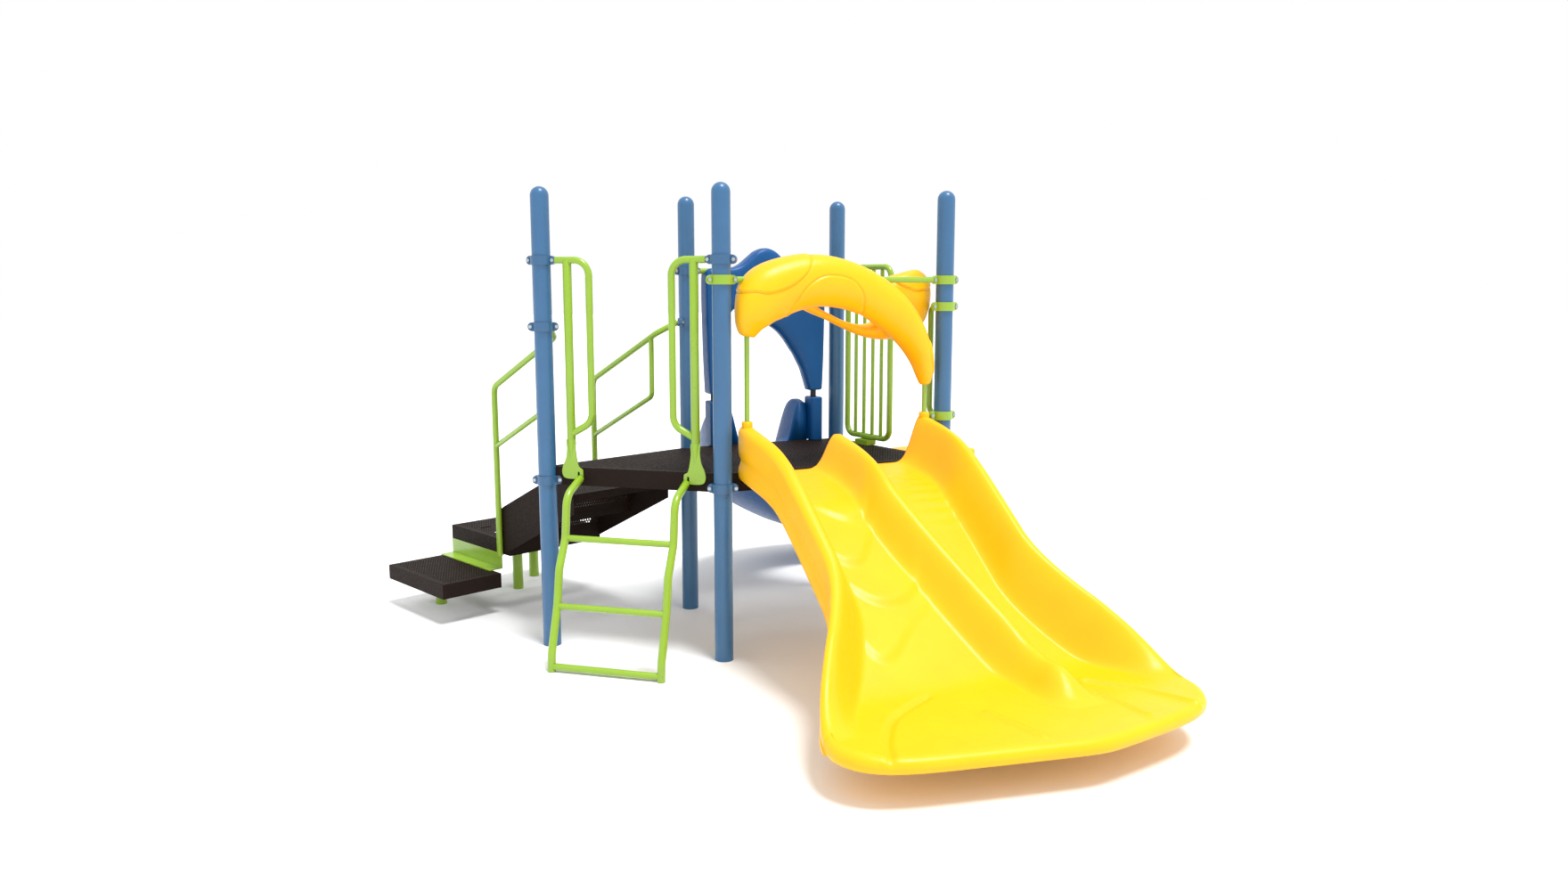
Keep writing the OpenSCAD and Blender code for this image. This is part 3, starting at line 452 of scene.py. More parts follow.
barrier = {"x": 0.113, "width": 0.376, "up": 0.043, "top": 0.985, "pipe": 0.032, "arm": 0.0224,
           "armDrop": 0.09, "bend": 0.055, "loopX": 0.1, "loopTop": 0.78, "loopLow": 0.223,
           "loopPipe": 0.03, "loopBend": 0.04, "loopEnd": 0.0532}
left, right = barrier["x"], barrier["x"] + barrier["width"]
low, high = deckTop + barrier["up"], deckTop + barrier["top"]
hoop = [(left, 0, high), (left, 0, low), (right, 0, low), (right, 0, high)]
arm = [(clampReach, 0, high - barrier["armDrop"]), (left, 0, high - barrier["armDrop"])]
pipeWork("barrierFrame", [(inBay("d", "e", hoop), barrier["pipe"], barrier["bend"], True),
                          (inBay("d", "e", arm), barrier["arm"], 0, False)], "barrier_frame")
loopEnd, loopX = barrier["loopEnd"], barrier["loopX"]
loopHigh, loopLow = deckTop + barrier["loopTop"], deckTop + barrier["loopLow"]
loopRail = [(loopEnd, 0, loopHigh), (loopX, 0, loopHigh), (loopX, 0, loopLow), (loopEnd, 0, loopLow)]
pipeWork("loopRail", [(inBay("e", "d", loopRail), barrier["loopPipe"], barrier["loopBend"], False)],
         "loop_rail")
print("pipe work done")


# punched sheet: decks, treads, risers, platform, foot plates

punch = {"pitch": 0.0155, "hole": 0.0043, "sides": 6, "margin": 0.034, "stairMargin": 0.03,
         "postRoom": 0.0448, "clearOfPost": 0.085, "clearOfSlot": 0.021, "clampHeight": 0.0452,
         "clampReach": 0.0765, "thickness": 0.003, "foldRadius": 0.0025}


def arcPoints(centre, radius, start, sweep, count):
    t = np.linspace(start, start + sweep, count)
    return np.column_stack((centre[0] + radius * np.cos(t), centre[1] + radius * np.sin(t)))


def cornersWithPosts(corners, isPost):
    # a counter-clockwise outline whose post corners are cut round the post
    outline = []
    for i, here in enumerate(corners):
        before, after = corners[i - 1], corners[(i + 1) % len(corners)]
        if not isPost[i]:
            outline.append(here[None])
            continue
        toBefore, toAfter = unit(before - here), unit(after - here)
        start = math.atan2(toBefore[1], toBefore[0])
        sweep = (math.atan2(toAfter[1], toAfter[0]) - start) % (2 * math.pi) - 2 * math.pi
        if sweep < -math.pi:
            sweep += 2 * math.pi
        arc = arcPoints(here, punch["postRoom"], start, sweep, 17)
        reach = punch["clampReach"]
        outline += [(here + toBefore * reach)[None], arc, (here + toAfter * reach)[None]]
    return np.vstack(outline)


def holeGrid(corners, margin, keepOut=(), pitch=punch["pitch"]):
    # centres of a staggered punching pattern inside a convex outline, clear of circles (x, y, radius)
    low, high = corners.min(0), corners.max(0)
    rowStep = pitch * math.sqrt(3) / 2
    rows = np.arange(low[1] + margin, high[1] - margin, rowStep)
    columns = np.arange(low[0] + margin, high[0] - margin, pitch)
    x, y = np.meshgrid(columns, rows)
    x = x + (np.arange(len(rows)) % 2)[:, None] * pitch / 2
    spots = np.column_stack((x.ravel(), y.ravel()))
    keep = np.ones(len(spots), bool)
    for here, after in zip(corners, np.roll(corners, -1, 0)):
        way = unit(after - here)
        keep &= (spots - here) @ np.array((-way[1], way[0])) > margin
    for cx, cy, r in keepOut:
        keep &= np.hypot(spots[:, 0] - cx, spots[:, 1] - cy) > r
    return spots[keep]


def punchedLoops(spots, radius, sides=punch["sides"]):
    angle = np.arange(sides) * 2 * np.pi / sides + 0.3
    ring = np.column_stack((np.cos(angle), np.sin(angle))) * radius
    return list(spots[:, None] + ring[None])


def sheetWithHoles(outline, loops):
    # triangles that fill the outline and leave every loop open
    rings = [outline] + loops
    sizes = np.array([len(r) for r in rings])
    starts = np.concatenate(([0], np.cumsum(sizes)[:-1]))
    owner = np.repeat(np.arange(len(rings)), sizes)
    index = np.arange(sizes.sum())
    following = np.where(index - starts[owner] == sizes[owner] - 1, starts[owner], index + 1)
    points = np.vstack(rings)
    edges = np.column_stack((index, following)).tolist()
    result = delaunay_2d_cdt([Vector(p) for p in points.tolist()], edges, [list(range(len(outline)))],
                             1, 1e-7)
    spots = np.array([tuple(v) for v in result[0]])
    source = np.array([o[0] if o else 0 for o in result[3]])
    triangles = np.array(result[2])
    who = owner[source][triangles]
    inHole = (who[:, 0] == who[:, 1]) & (who[:, 1] == who[:, 2]) & (who[:, 0] > 0)
    return spots, triangles[~inHole], len(outline)


def foldedPan(name, nodeName, outline, loops, top, depth, toWorld=None, clampNotch=False):
    # a punched top with a skirt folded down from its outline, then given its thickness
    plan, triangles, rim = sheetWithHoles(outline, loops)
    levels = [depth - punch["clampHeight"], depth] if clampNotch else [depth]
    count = len(plan)
    points = [np.column_stack((plan, np.full(count, top)))]
    faces = triangles.tolist()
    here = np.arange(rim)
    after = (here + 1) % rim
    above = 0
    nearPost = np.zeros(rim, bool)
    if clampNotch:
        away = np.min([np.linalg.norm(outline - p, axis=1) for p in posts.values()], axis=0)
        nearPost = (away < punch["clampReach"] + 1e-4)
    for step, level in enumerate(levels):
        points.append(np.column_stack((outline, np.full(rim, top - level))))
        below = count + step * rim
        quads = np.stack((above + here, below + here, below + after, above + after), -1)
        if clampNotch and step == 1:
            quads = quads[~(nearPost[here] & nearPost[after])]
        faces += quads.tolist()
        above = below
    points = np.vstack(points)
    if toWorld:
        points = toWorld(points)
    piece = makePiece(name, points, faces, nodeName, "deck_brown", smooth=False)
    addModifier(piece, "BEVEL", width=punch["foldRadius"], segments=2, limit_method="ANGLE",
                angle_limit=math.radians(50))
    addModifier(piece, "SOLIDIFY", thickness=punch["thickness"], offset=-1, use_even_offset=True)


seamHalf = 0.0004
seamWay = unit(posts["b"] - posts["c"])
seamSide = np.array((seamWay[1], -seamWay[0])) * seamHalf
postRooms = [(p[0], p[1], punch["clearOfPost"]) for p in posts.values()]
skirtDepth = deckTop - skirtFoot
mainCorners = np.array((posts["c"] + seamSide, posts["e"], posts["d"], posts["b"] + seamSide))
triangleCorners = np.array((posts["c"] - seamSide, posts["b"] - seamSide, posts["a"]))
for name, nodeName, corners in (("deckMain", "deck_main", mainCorners),
                                ("deckTriangle", "deck_triangle", triangleCorners)):
    loops = punchedLoops(holeGrid(corners, punch["margin"], postRooms), punch["hole"])
    outline = cornersWithPosts(corners, [True] * len(corners))
    foldedPan(name, nodeName, outline, loops, deckTop, skirtDepth, clampNotch=True)
    print(name, "holes:", len(loops))


def stairFrame(points):
    return inBay("a", "b", points)


def box2d(x0, x1, y0, y1):
    return np.array(((x0, y0), (x1, y0), (x1, y1), (x0, y1)), float)


def stairPan(name, nodeName, corners, top, depth, slots=()):
    keepOut = []
    for slot in slots:
        (x0, y0), (x1, y1) = slot.min(0), slot.max(0)
        keepOut += [(x, (y0 + y1) / 2, punch["clearOfSlot"]) for x in np.linspace(x0, x1, 6)]
    loops = punchedLoops(holeGrid(corners, punch["stairMargin"], keepOut), punch["hole"]) + list(slots)
    foldedPan(name, nodeName, corners, loops, top, depth, toWorld=stairFrame)


stairWidth = bayShort - 2 * stair["inner"]
riseStep = (deckTop - stair["platformZ"]) / 3
inner, outer = stair["inner"], bayShort - stair["inner"]
for i in (1, 2):
    front = stair["length"] - i * stair["going"] + touchGap
    corners = box2d(inner, outer, front, front + stair["going"] - 2 * touchGap)
    stairPan(f"stairTread{i}", "stair_treads", corners, stair["platformZ"] + i * riseStep, stair["treadT"])

# risers stand upright: their sheet is worked out flat, then turned up
risers = {"margin": 0.022, "pitch": 0.0165, "hole": 0.0052, "sides": 8, "thickness": 0.003}
riserHeight = riseStep - stair["treadT"] - 2 * touchGap
for i in (0, 1):
    face = stair["length"] - i * stair["going"] - stair["sheet"]
    foot = stair["platformZ"] + i * riseStep + touchGap
    corners = box2d(inner, outer, 0, riserHeight)
    spots = holeGrid(corners, risers["margin"], pitch=risers["pitch"])
    loops = punchedLoops(spots, risers["hole"], risers["sides"])
    plan, triangles, rim = sheetWithHoles(corners, loops)
    points = np.column_stack((plan[:, 0], np.full(len(plan), face), foot + plan[:, 1]))
    riser = makePiece(f"stairRiser{i + 1}", stairFrame(points), triangles.tolist(), "stair_risers",
                      "deck_brown", smooth=False)
    addModifier(riser, "SOLIDIFY", thickness=risers["thickness"], offset=0)

platform = {"front": stair["length"] + touchGap, "slot": (0.07, 0.022), "slotRows": 3, "slotColumns": 5,
            "slotEdge": 0.07, "slotStart": 0.12, "slotStep": 0.15}
slotRoom = stairWidth - 2 * platform["slotEdge"]
slots = []
for i in range(platform["slotColumns"]):
    for j in range(platform["slotRows"]):
        x = inner + platform["slotEdge"] + i * slotRoom / platform["slotColumns"]
        y = platform["front"] + platform["slotStart"] + j * platform["slotStep"]
        slots.append(box2d(x, x + platform["slot"][0], y, y + platform["slot"][1]))
platformCorners = box2d(inner, outer, platform["front"], platform["front"] + stair["platformL"])
stairPan("stairPlatform", "stair_platform", platformCorners, stair["platformZ"], stair["plankT"], slots)
lowX = stair["stringer"] - stair["stringerT"] / 2 - stair["lowAside"] - stair["lowW"]
lowCorners = box2d(lowX, lowX + stair["lowW"], platform["front"] + stair["lowInset"],
                   platform["front"] + stair["platformL"] - stair["lowInset"])
stairPan("lowerTread", "lower_tread", lowCorners, stair["lowZ"], stair["plankT"])
print("stair sheets done")


# spade-shaped feet of the two enclosures: flat plates with a slot, and the pipe's end closed to a point
spade = {"thickness": 0.008, "foldLength": 0.1, "foldOut": 0.0075, "foldClosed": 0.94, "foldInset": 0.0004,
         "outline": ((-0.021, 0.14), (-0.0225, 0.09), (-0.029, 0.045), (-0.044, 0.01), (-0.051, -0.02),
                     (-0.043, -0.047), (-0.02, -0.056), (0.02, -0.0565), (0.053, -0.056), (0.059, -0.05),
                     (0.059, -0.015), (0.052, -0.006), (0.038, 0.004), (0.028, 0.045), (0.0225, 0.09),
                     (0.021, 0.14)),
         "slotCentre": (0.0375, -0.033), "slotHalf": 0.008, "slotRound": 0.0055}
for label, mirrored in (("Left", True), ("Right", False)):
    outline = smoothLoop(spade["outline"], 6)
    cx, cz = spade["slotCentre"]
    slot = np.vstack((arcPoints((cx, cz + spade["slotHalf"]), spade["slotRound"], 0, math.pi, 9),
                      arcPoints((cx, cz - spade["slotHalf"]), spade["slotRound"], math.pi, math.pi, 9)))
    plan, triangles, rim = sheetWithHoles(outline, [slot])
    flat = np.column_stack((enclosure["upright"] + plan[:, 0],
                            np.full(len(plan), touchGap + spade["thickness"] / 2), deckTop + plan[:, 1]))
    foldTop = deckTop + enclosure["plateTop"]
    fold = np.array(((enclosure["upright"], 0, foldTop),
                     (enclosure["upright"], spade["foldOut"], foldTop - spade["foldLength"])))
    foldPoints, foldFaces = tubeAlong(inBay("c", "a", fold, mirrored),
                                      enclosure["uprightWidth"] / 2 - spade["foldInset"])
    # three rings at each end: the lower three are drawn in towards their axis
    t = np.repeat((0, 0, 0, 1, 1, 1.0), pipeSettings["sides"])
    axis = np.repeat(foldPoints.reshape(6, -1, 3).mean(1), pipeSettings["sides"], 0)
    foldPoints = axis + (foldPoints - axis) * (1 - spade["foldClosed"] * t)[:, None]
    plate = makePiece("spade" + label, inBay("c", "a", flat, mirrored), triangles.tolist(),
                      "enclosure_foot_plates", "green_pipe", smooth=False)
    addModifier(plate, "SOLIDIFY", thickness=spade["thickness"], offset=0)
    addModifier(plate, "BEVEL", width=0.0015, segments=2, limit_method="ANGLE", angle_limit=math.radians(50))
    makePiece("spadeFold" + label, foldPoints, foldFaces, "enclosure_foot_plates", "green_pipe")
print("spades done")


# the double wave slide

wave = {"entryHalf": 0.49, "waistHalf": 0.474, "flare": 0.322, "wall": 0.234, "ridge": 0.164, "drift": 0.315,
        "exitZ": 0.2, "breakAt": 0.389, "levelAt": 1.24, "run": 1.88, "rimR": 0.04, "lipR": 0.034,
        "topSlope": 0.15, "edge": 0.008, "floor": 0.03, "across": 190, "stations": 200}
chuteDrop = deckTop - wave["topSlope"] * wave["breakAt"] - wave["exitZ"]
chuteSlope = chuteDrop / (wave["levelAt"] - wave["breakAt"])
flareEnd, mouthAt = wave["levelAt"] + 0.32, wave["levelAt"] + 0.26


def laneHeight(d):
    # a gentle start, the steep run and the level exit, blended where they meet
    steep = wave["exitZ"] + (wave["levelAt"] - d) * chuteSlope
    return softMax(softMin(deckTop - wave["topSlope"] * d, steep, 0.04), wave["exitZ"], 0.02)


def wallHeight(d):
    falling = 1 - ease(wave["levelAt"] - 0.06, flareEnd, d)
    return wave["edge"] + (wave["wall"] - wave["edge"]) * falling


def ridgeHeight(d):
    return wave["ridge"] * (1 - 0.35 * ease(wave["levelAt"] - 0.1, wave["levelAt"] + 0.15, d)) * (
        1 - ease(wave["levelAt"] + 0.2, wave["levelAt"] + 0.4, d))


def ridgePlace(d):
    falling = np.maximum(0, softMin(d, wave["levelAt"] + 0.03, 0.04) - 0.52)
    return wave["drift"] * (falling / (wave["levelAt"] - 0.334)) ** 1.25


def halfWidth(d):
    return (wave["entryHalf"] + (wave["waistHalf"] - wave["entryHalf"]) * ease(0.1, 0.45, d)
            + wave["flare"] * ease(0.85, flareEnd, d))


def rollRadius(d):
    return wave["rimR"] + (wave["lipR"] - wave["rimR"]) * ease(0, flareEnd, d)


def bankWidth(d):
    return 0.2 - 0.07 * ease(0, 0.35, d)


def crest(distance, d):
    # near the deck the walls rise to narrow horns with concave feet
    early = 1 - ease(0.1, 0.5, d)
    return bank(np.maximum(0, np.abs(distance) - 0.012 * early), bankWidth(d)) ** (1 + 2.2 * early)


def lipPlace(u):
    # how far out the lip runs: it bulges in front of the ridge and its corners are round
    x = u * (wave["waistHalf"] + wave["flare"])
    bulge = wave["run"] + 0.004 - 0.19 * np.sqrt((x - 0.13) ** 2 + 0.0036)
    return mouthAt + (bulge - mouthAt) * (1 - np.abs(u) ** 9) ** (1 / 2.4)


def distanceTo(curve, d, x):
    # distance in plan from every point to a smooth line through the curve's points
    p = np.asarray(curve, float)
    t = np.linspace(0, 1, 7)[:-1]
    fine = []
    for i in range(len(p) - 1):
        fine.append(spline(p[max(i - 1, 0)], p[i], p[i + 1], p[min(i + 2, len(p) - 1)], t[:, None]))
    fine = np.vstack(fine + [p[-1:]])
    best = np.full(d.shape, 9.0)
    for start, end in zip(fine[:-1], fine[1:]):
        way = end - start
        along = np.clip(((d - start[0]) * way[0] + (x - start[1]) * way[1]) / (way @ way), 0, 1)
        best = np.minimum(best, np.hypot(d - start[0] - along * way[0], x - start[1] - along * way[1]))
    return best


def isInside(polygon, d, x):
    # true inside a closed outline, by counting the edges crossed
    p = np.asarray(polygon, float)
    inside = np.zeros(d.shape, bool)
    for (d0, x0), (d1, x1) in zip(p, np.roll(p, -1, 0)):
        crosses = (d0 > d) != (d1 > d)
        inside ^= crosses & (x < (x1 - x0) * (d - d0) / (d1 - d0 + 1e-12) + x0)
    return inside


def depthInside(outline, d, x):
    # how far inside a smooth closed outline every point is, negative outside it
    closed = smoothLoop(outline, 5)
    edge = distanceTo(np.vstack((closed, closed[:1])), d, x)
    return np.where(isInside(closed, d, x), edge, -edge)


# raised ribs (distance from the deck, place across), their half width and height
ribs = (
    (((1.76, 0.655), (1.58, 0.56), (1.44, 0.455), (1.40, 0.40), (1.46, 0.365), (1.62, 0.385), (1.80, 0.40)),
     0.022, 0.013),
    (((1.524, -0.14), (1.67, -0.115), (1.80, -0.092)), 0.026, 0.012),
    (((1.30, -0.27), (1.36, -0.39), (1.45, -0.515), (1.60, -0.62), (1.70, -0.665)), 0.028, -0.013),
)
# stepped scales in the left lane: outlines that stand proud and end in a rounded step, and their height
scales = (
    (((0.30, -0.36), (0.40, -0.33), (0.47, -0.26), (0.50, -0.19), (0.47, -0.10), (0.38, -0.05),
      (0.28, -0.05)), 0.013),
    (((0.47, -0.40), (0.62, -0.385), (0.69, -0.33), (0.705, -0.26), (0.66, -0.20), (0.56, -0.12),
      (0.46, -0.07)), 0.016),
    (((0.70, -0.37), (0.80, -0.345), (0.87, -0.28), (0.895, -0.20), (0.87, -0.10), (0.80, -0.02),
      (0.68, 0.0)), 0.016),
    (((0.80, -0.01), (0.905, -0.03), (0.99, -0.16), (1.10, -0.32), (1.05, -0.40), (0.86, -0.38)), 0.012),
)


def relief(d, x):
    height = np.zeros(d.shape)
    for curve, halfW, tall in ribs:
        height += tall * bank(distanceTo(curve, d, x), halfW)
    for outline, tall in scales:
        # full height just inside the lower edge, fading back up the lane
        fade = ease(min(p[0] for p in outline), max(p[0] for p in outline), d)
        height += tall * ease(-0.02, 0.016, depthInside(outline, d, x)) * fade
    # soft cross ripples at the head of the right lane
    ripple = 0.0035 * np.sin(2 * np.pi * d / 0.062)
    height += ripple * ease(0.12, 0.2, d) * (1 - ease(0.5, 0.66, d)) * bank(x - 0.27, 0.16)
    return height


def slideTop(d, u):
    # lane + side walls that bank up to the edges + the dividing ridge + the moulded relief
    x = u * halfWidth(d)
    plain = (laneHeight(d) + wallHeight(d) * crest((1 - np.abs(u)) * halfWidth(d), d)
             + ridgeHeight(d) * crest(x - ridgePlace(d), d))
    return plain + relief(d, x) * ease(0, 0.03, (1 - np.abs(u)) * halfWidth(d))


def slideUnder(d, u):
    under = laneHeight(d) - wave["floor"] - 0.036 * ease(0.9, mouthAt, d)
    return under + 0.75 * ridgeHeight(d) * bank(u * halfWidth(d) - ridgePlace(d), bankWidth(d))


def facesOut(piece):
    # turns a closed mesh right way round when its signed volume comes out negative
    mesh = piece.data
    mesh.calc_loop_triangles()
    points = meshValues(mesh.vertices, "co")
    corners = np.empty(len(mesh.loop_triangles) * 3, int)
    mesh.loop_triangles.foreach_get("vertices", corners)
    a, b, c = (points[corners.reshape(-1, 3)[:, k]] for k in range(3))
    if np.einsum("ij,ij->", a, np.cross(b, c)) < 0:
        mesh.flip_normals()


def slideMesh():
    # rings across the slide: top from right to left, rolled rim, outer skin, underside, and back up
    n = wave["across"]
    turned = np.radians(np.linspace(8, 86, 10))
    t = np.concatenate((np.linspace(0, 1, wave["stations"]), np.ones(len(turned))))
    turn = np.concatenate((np.zeros(wave["stations"]), turned))[:, None]
    straight = (np.minimum(1, t / 0.8) * mouthAt)[:, None]
    tail = np.maximum(0, (t - 0.8) / 0.2)[:, None]
    # columns crowd towards the edges, where the lip's corners turn
    v = np.linspace(1, -1, n + 1)[None, :]
    u = v + 0.7 * np.sin(np.pi * v) / np.pi
    d = straight + tail * (lipPlace(u) - mouthAt)
    top, under = slideTop(d, u), slideUnder(d, u)
    reach = wave["lipR"] * np.sin(turn)
    # the lip rolls away square to its outline, so it meets the side rims round the corners
    slope = np.gradient(lipPlace(u[0]), u[0] * halfWidth(mouthAt))
    slope[[0, -1]] = (-1e3, 1e3)
    lipX, lipY = -slope / np.hypot(slope, 1), 1 / np.hypot(slope, 1)

    def place(d, u, dx, z, top, under, forward):
        middle, half = (top + under) / 2, (top - under) / 2 * np.cos(turn)
        return np.stack(np.broadcast_arrays(slideMiddle + u * halfWidth(d) + dx,
                                            -touchGap - d - reach * forward,
                                            middle + np.clip(z - middle, -half, half)), -1)

    def rim(side):
        # quarter roll over the crest, then the outer skin with one groove and a thicker foot
        edge = side + 0 * straight
        edgeTop, edgeUnder = slideTop(straight, edge), slideUnder(straight, edge)
        r = rollRadius(straight)
        b = np.radians(np.linspace(78, 0, 7))[None, :]
        s = np.linspace(0.08, 1, 12)[None, :]
        out = np.concatenate((np.cos(b) * r, r * (1 - 0.05 * s) - 0.011 * bank(s - 0.6, 0.17)
                              + 0.003 * ease(0.72, 0.85, s)), 1)
        rollFoot = edgeTop - r
        down = np.concatenate((edgeTop - r * (1 - np.sin(b)),
                               rollFoot + (edgeUnder + 0.012 - rollFoot) * s), 1)
        return place(straight, side, side * np.maximum(out, reach), down, edgeTop, edgeUnder, 0)

    left, right = rim(-1.0), rim(1.0)[:, ::-1]
    rings = np.concatenate((place(d, u, reach * lipX, top, top, under, lipY), left,
                            place(d, u, reach * lipX, under, top, under, lipY)[:, ::-1], right), 1)
    faces = troughFaces(*rings.shape[:2], n, left.shape[1])
    return rings.reshape(-1, 3), [loop[::-1] for loop in faces]


slidePoints, slideFaces = slideMesh()
doubleSlide = makePiece("doubleSlide", slidePoints, slideFaces, "double_slide", "yellow_plastic")
facesOut(doubleSlide)
print("double slide:", len(doubleSlide.data.polygons), "faces")


# sockets on the slide's horns, where the hood poles stand
def turnedProfile(centre, profile, sides=40):
    # rings of a turned shape: (radius, height) pairs carried round the centre, closed at both ends
    r, z = np.array(profile).T
    angle = np.linspace(0, 2 * np.pi, sides, endpoint=False)
    points = np.stack((centre[0] + r[:, None] * np.cos(angle), centre[1] + r[:, None] * np.sin(angle),
                       z[:, None] + 0 * angle), -1).reshape(-1, 3)
    return points, plugged(len(r), sides)


poleLow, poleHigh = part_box("hood_poles")
poleY = (poleLow.y + poleHigh.y) / 2
poleRadius = 0.0125
poleHalf = (poleHigh.x - poleLow.x) / 2 - poleRadius
socket = ((0.024, -0.03), (0.0265, -0.028), (0.0265, 0.014), (0.0245, 0.018), (0.0145, 0.019),
          (0.0135, 0.012))
for label, side in (("Left", -1), ("Right", 1)):
    centre = (slideMiddle + side * poleHalf, poleY)
    points, faces = turnedProfile(centre, [(r, poleLow.z + z) for r, z in socket])
    facesOut(makePiece("poleSocket" + label, points, faces, "double_slide", "yellow_plastic"))


# the two hoods

def through(rows, t):
    # a smooth curve through the rows, t counted in rows
    rows = np.asarray(rows, float)
    i = np.minimum(len(rows) - 2, np.floor(t).astype(int))
    before, after = np.maximum(i - 1, 0), np.minimum(i + 2, len(rows) - 1)
    return spline(rows[before], rows[i], rows[i + 1], rows[after], (t - i)[:, None])


def limb(rows, samples=8, sides=48, squareness=0.9):
    # a flattened round section carried along rows of (x, up, y, half depth, half height)
    last = len(rows) - 1
    t = np.linspace(0, last, last * samples + 1)
    p = through(rows, t)
    way = through(rows, np.minimum(t + 0.05, last)) - through(rows, np.maximum(t - 0.05, 0))
    length = np.hypot(way[:, 0], way[:, 1])
    side = np.column_stack((-way[:, 1], way[:, 0])) / length[:, None]
    c, s = squareRound(np.linspace(0, -2 * np.pi, sides, endpoint=False), squareness)
    points = np.stack((slideMiddle + p[:, :1] + side[:, :1] * p[:, 4:] * s, p[:, 2:3] - p[:, 3:4] * c,
                       deckTop + p[:, 1:2] + side[:, 1:] * p[:, 4:] * s), -1)
    return points.reshape(-1, 3), plugged(len(t), sides)


slideHood = {
    "voxel": 0.009, "smoothing": 14,
    # the front arch, from the low left foot over the top and down to the pointed right foot
    "front": ((-0.488, 0.648, -0.0155, 0.038, 0.038), (-0.47, 0.728, -0.02, 0.08, 0.084),
              (-0.402, 0.825, 0.0, 0.115, 0.132), (-0.285, 0.885, 0.01, 0.122, 0.13),
              (-0.1, 0.912, -0.01, 0.105, 0.122), (0.1, 0.868, -0.03, 0.085, 0.11),
              (0.28, 0.765, -0.02, 0.085, 0.105), (0.4, 0.655, 0.0, 0.085, 0.085),
              (0.466, 0.54, 0.0, 0.072, 0.062), (0.486, 0.44, -0.014, 0.048, 0.044),
              (0.49, 0.384, -0.0155, 0.028, 0.028)),
    # the thin rear band, which swells into the lobe behind the right shoulder
    "rear": ((-0.2, 0.83, 0.05, 0.04, 0.04), (-0.1, 0.775, 0.1, 0.045, 0.024),
             (0.0, 0.735, 0.13, 0.04, 0.018), (0.11, 0.688, 0.14, 0.042, 0.02), (0.22, 0.66, 0.135, 0.055, 0.034),
             (0.32, 0.675, 0.12, 0.075, 0.07), (0.4, 0.745, 0.122, 0.078, 0.15),
             (0.43, 0.82, 0.125, 0.078, 0.165),
             (0.428, 0.885, 0.125, 0.07, 0.155), (0.415, 0.94, 0.125, 0.04, 0.1)),
    # outlines of the raised panels on the front, (x, up) from the slide's middle and the deck
    "capPanel": ((-0.56, 0.872), (-0.48, 0.861), (-0.404, 0.856), (-0.299, 0.889), (-0.216, 0.951),
                 (-0.184, 1.016), (-0.18, 1.1), (-0.4, 1.12), (-0.6, 1.0)),
    "archPanel": ((-0.3, 0.70), (-0.29, 0.745), (-0.262, 0.806), (-0.216, 0.876), (-0.144, 0.922),
                  (-0.071, 0.930), (0.016, 0.910), (0.07, 0.854), (0.087, 0.79), (0.09, 0.70), (-0.1, 0.64)),
    "legPanel": ((0.515, 0.642), (0.503, 0.6), (0.499, 0.557), (0.503, 0.52), (0.512, 0.489), (0.53, 0.43),
                 (0.6, 0.43), (0.6, 0.64)),
    "lobePanel": ((0.345, 0.935), (0.37, 0.905), (0.396, 0.886), (0.465, 0.864), (0.52, 0.866), (0.57, 0.876),
                  (0.62, 0.95), (0.45, 1.05), (0.33, 1.0)),
    "panelHeight": 0.006,
}


def oneSkin(name, shells, nodeName, slot, voxel, smoothing):
    # the shells melted into one skin, as a hollow moulding has, and evened out
    piece = makePiece(name, *melted(shells), nodeName, slot)
    facesOut(piece)
    addModifier(piece, "REMESH", mode="VOXEL", voxel_size=voxel, use_smooth_shade=True)
    addModifier(piece, "SMOOTH", factor=0.5, iterations=smoothing)
    addModifier(piece, "SUBSURF", levels=1, render_levels=1)
    settle(piece)
    return piece


def settle(piece):
    # applies the modifiers: the finished mesh takes their place
    bpy.context.view_layer.update()
    evaluated = piece.evaluated_get(bpy.context.evaluated_depsgraph_get())
    mesh = bpy.data.meshes.new_from_object(evaluated)
    mesh.name = piece.name
    piece.modifiers.clear()
    piece.data = mesh
    if not mesh.materials:
        mesh.materials.append(finishes[piece["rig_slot"]])
    mesh.shade_smooth()


def raisePanels(piece, outlines, height, front):
    # every vertex inside an outline, seen square from the front, moves out by the height
    mesh = piece.data
    points, normals = meshValues(mesh.vertices, "co"), meshValues(mesh.vertex_normals, "vector")
    x, up = points[:, 0] - slideMiddle, points[:, 2] - deckTop
    lift = np.zeros(len(points))
    for outline in outlines:
        # a step up to the panel with a thin groove at its foot
        inside = depthInside(outline, x, up)
        lift += height * ease(-0.002, 0.004, inside) - height * 0.8 * bank(inside + 0.005, 0.006)
    moved = points + normals * (lift * front(points, normals))[:, None]
    mesh.vertices.foreach_set("co", moved.ravel().astype(np.float32))
    mesh.update()


hoodPiece = oneSkin("slideHood", [limb(slideHood["front"]), limb(slideHood["rear"])], "slide_hood",
                    "yellow_plastic", slideHood["voxel"], slideHood["smoothing"])
raisePanels(hoodPiece, [slideHood["capPanel"], slideHood["archPanel"], slideHood["legPanel"]],
            slideHood["panelHeight"],
            lambda p, n: (n[:, 1] < 0.25) * (p[:, 1] < 0.06))
raisePanels(hoodPiece, [slideHood["lobePanel"]], slideHood["panelHeight"],
            lambda p, n: (n[:, 1] < 0.35) * (p[:, 1] > 0.0))
print("slide hood:", len(hoodPiece.data.polygons), "faces")

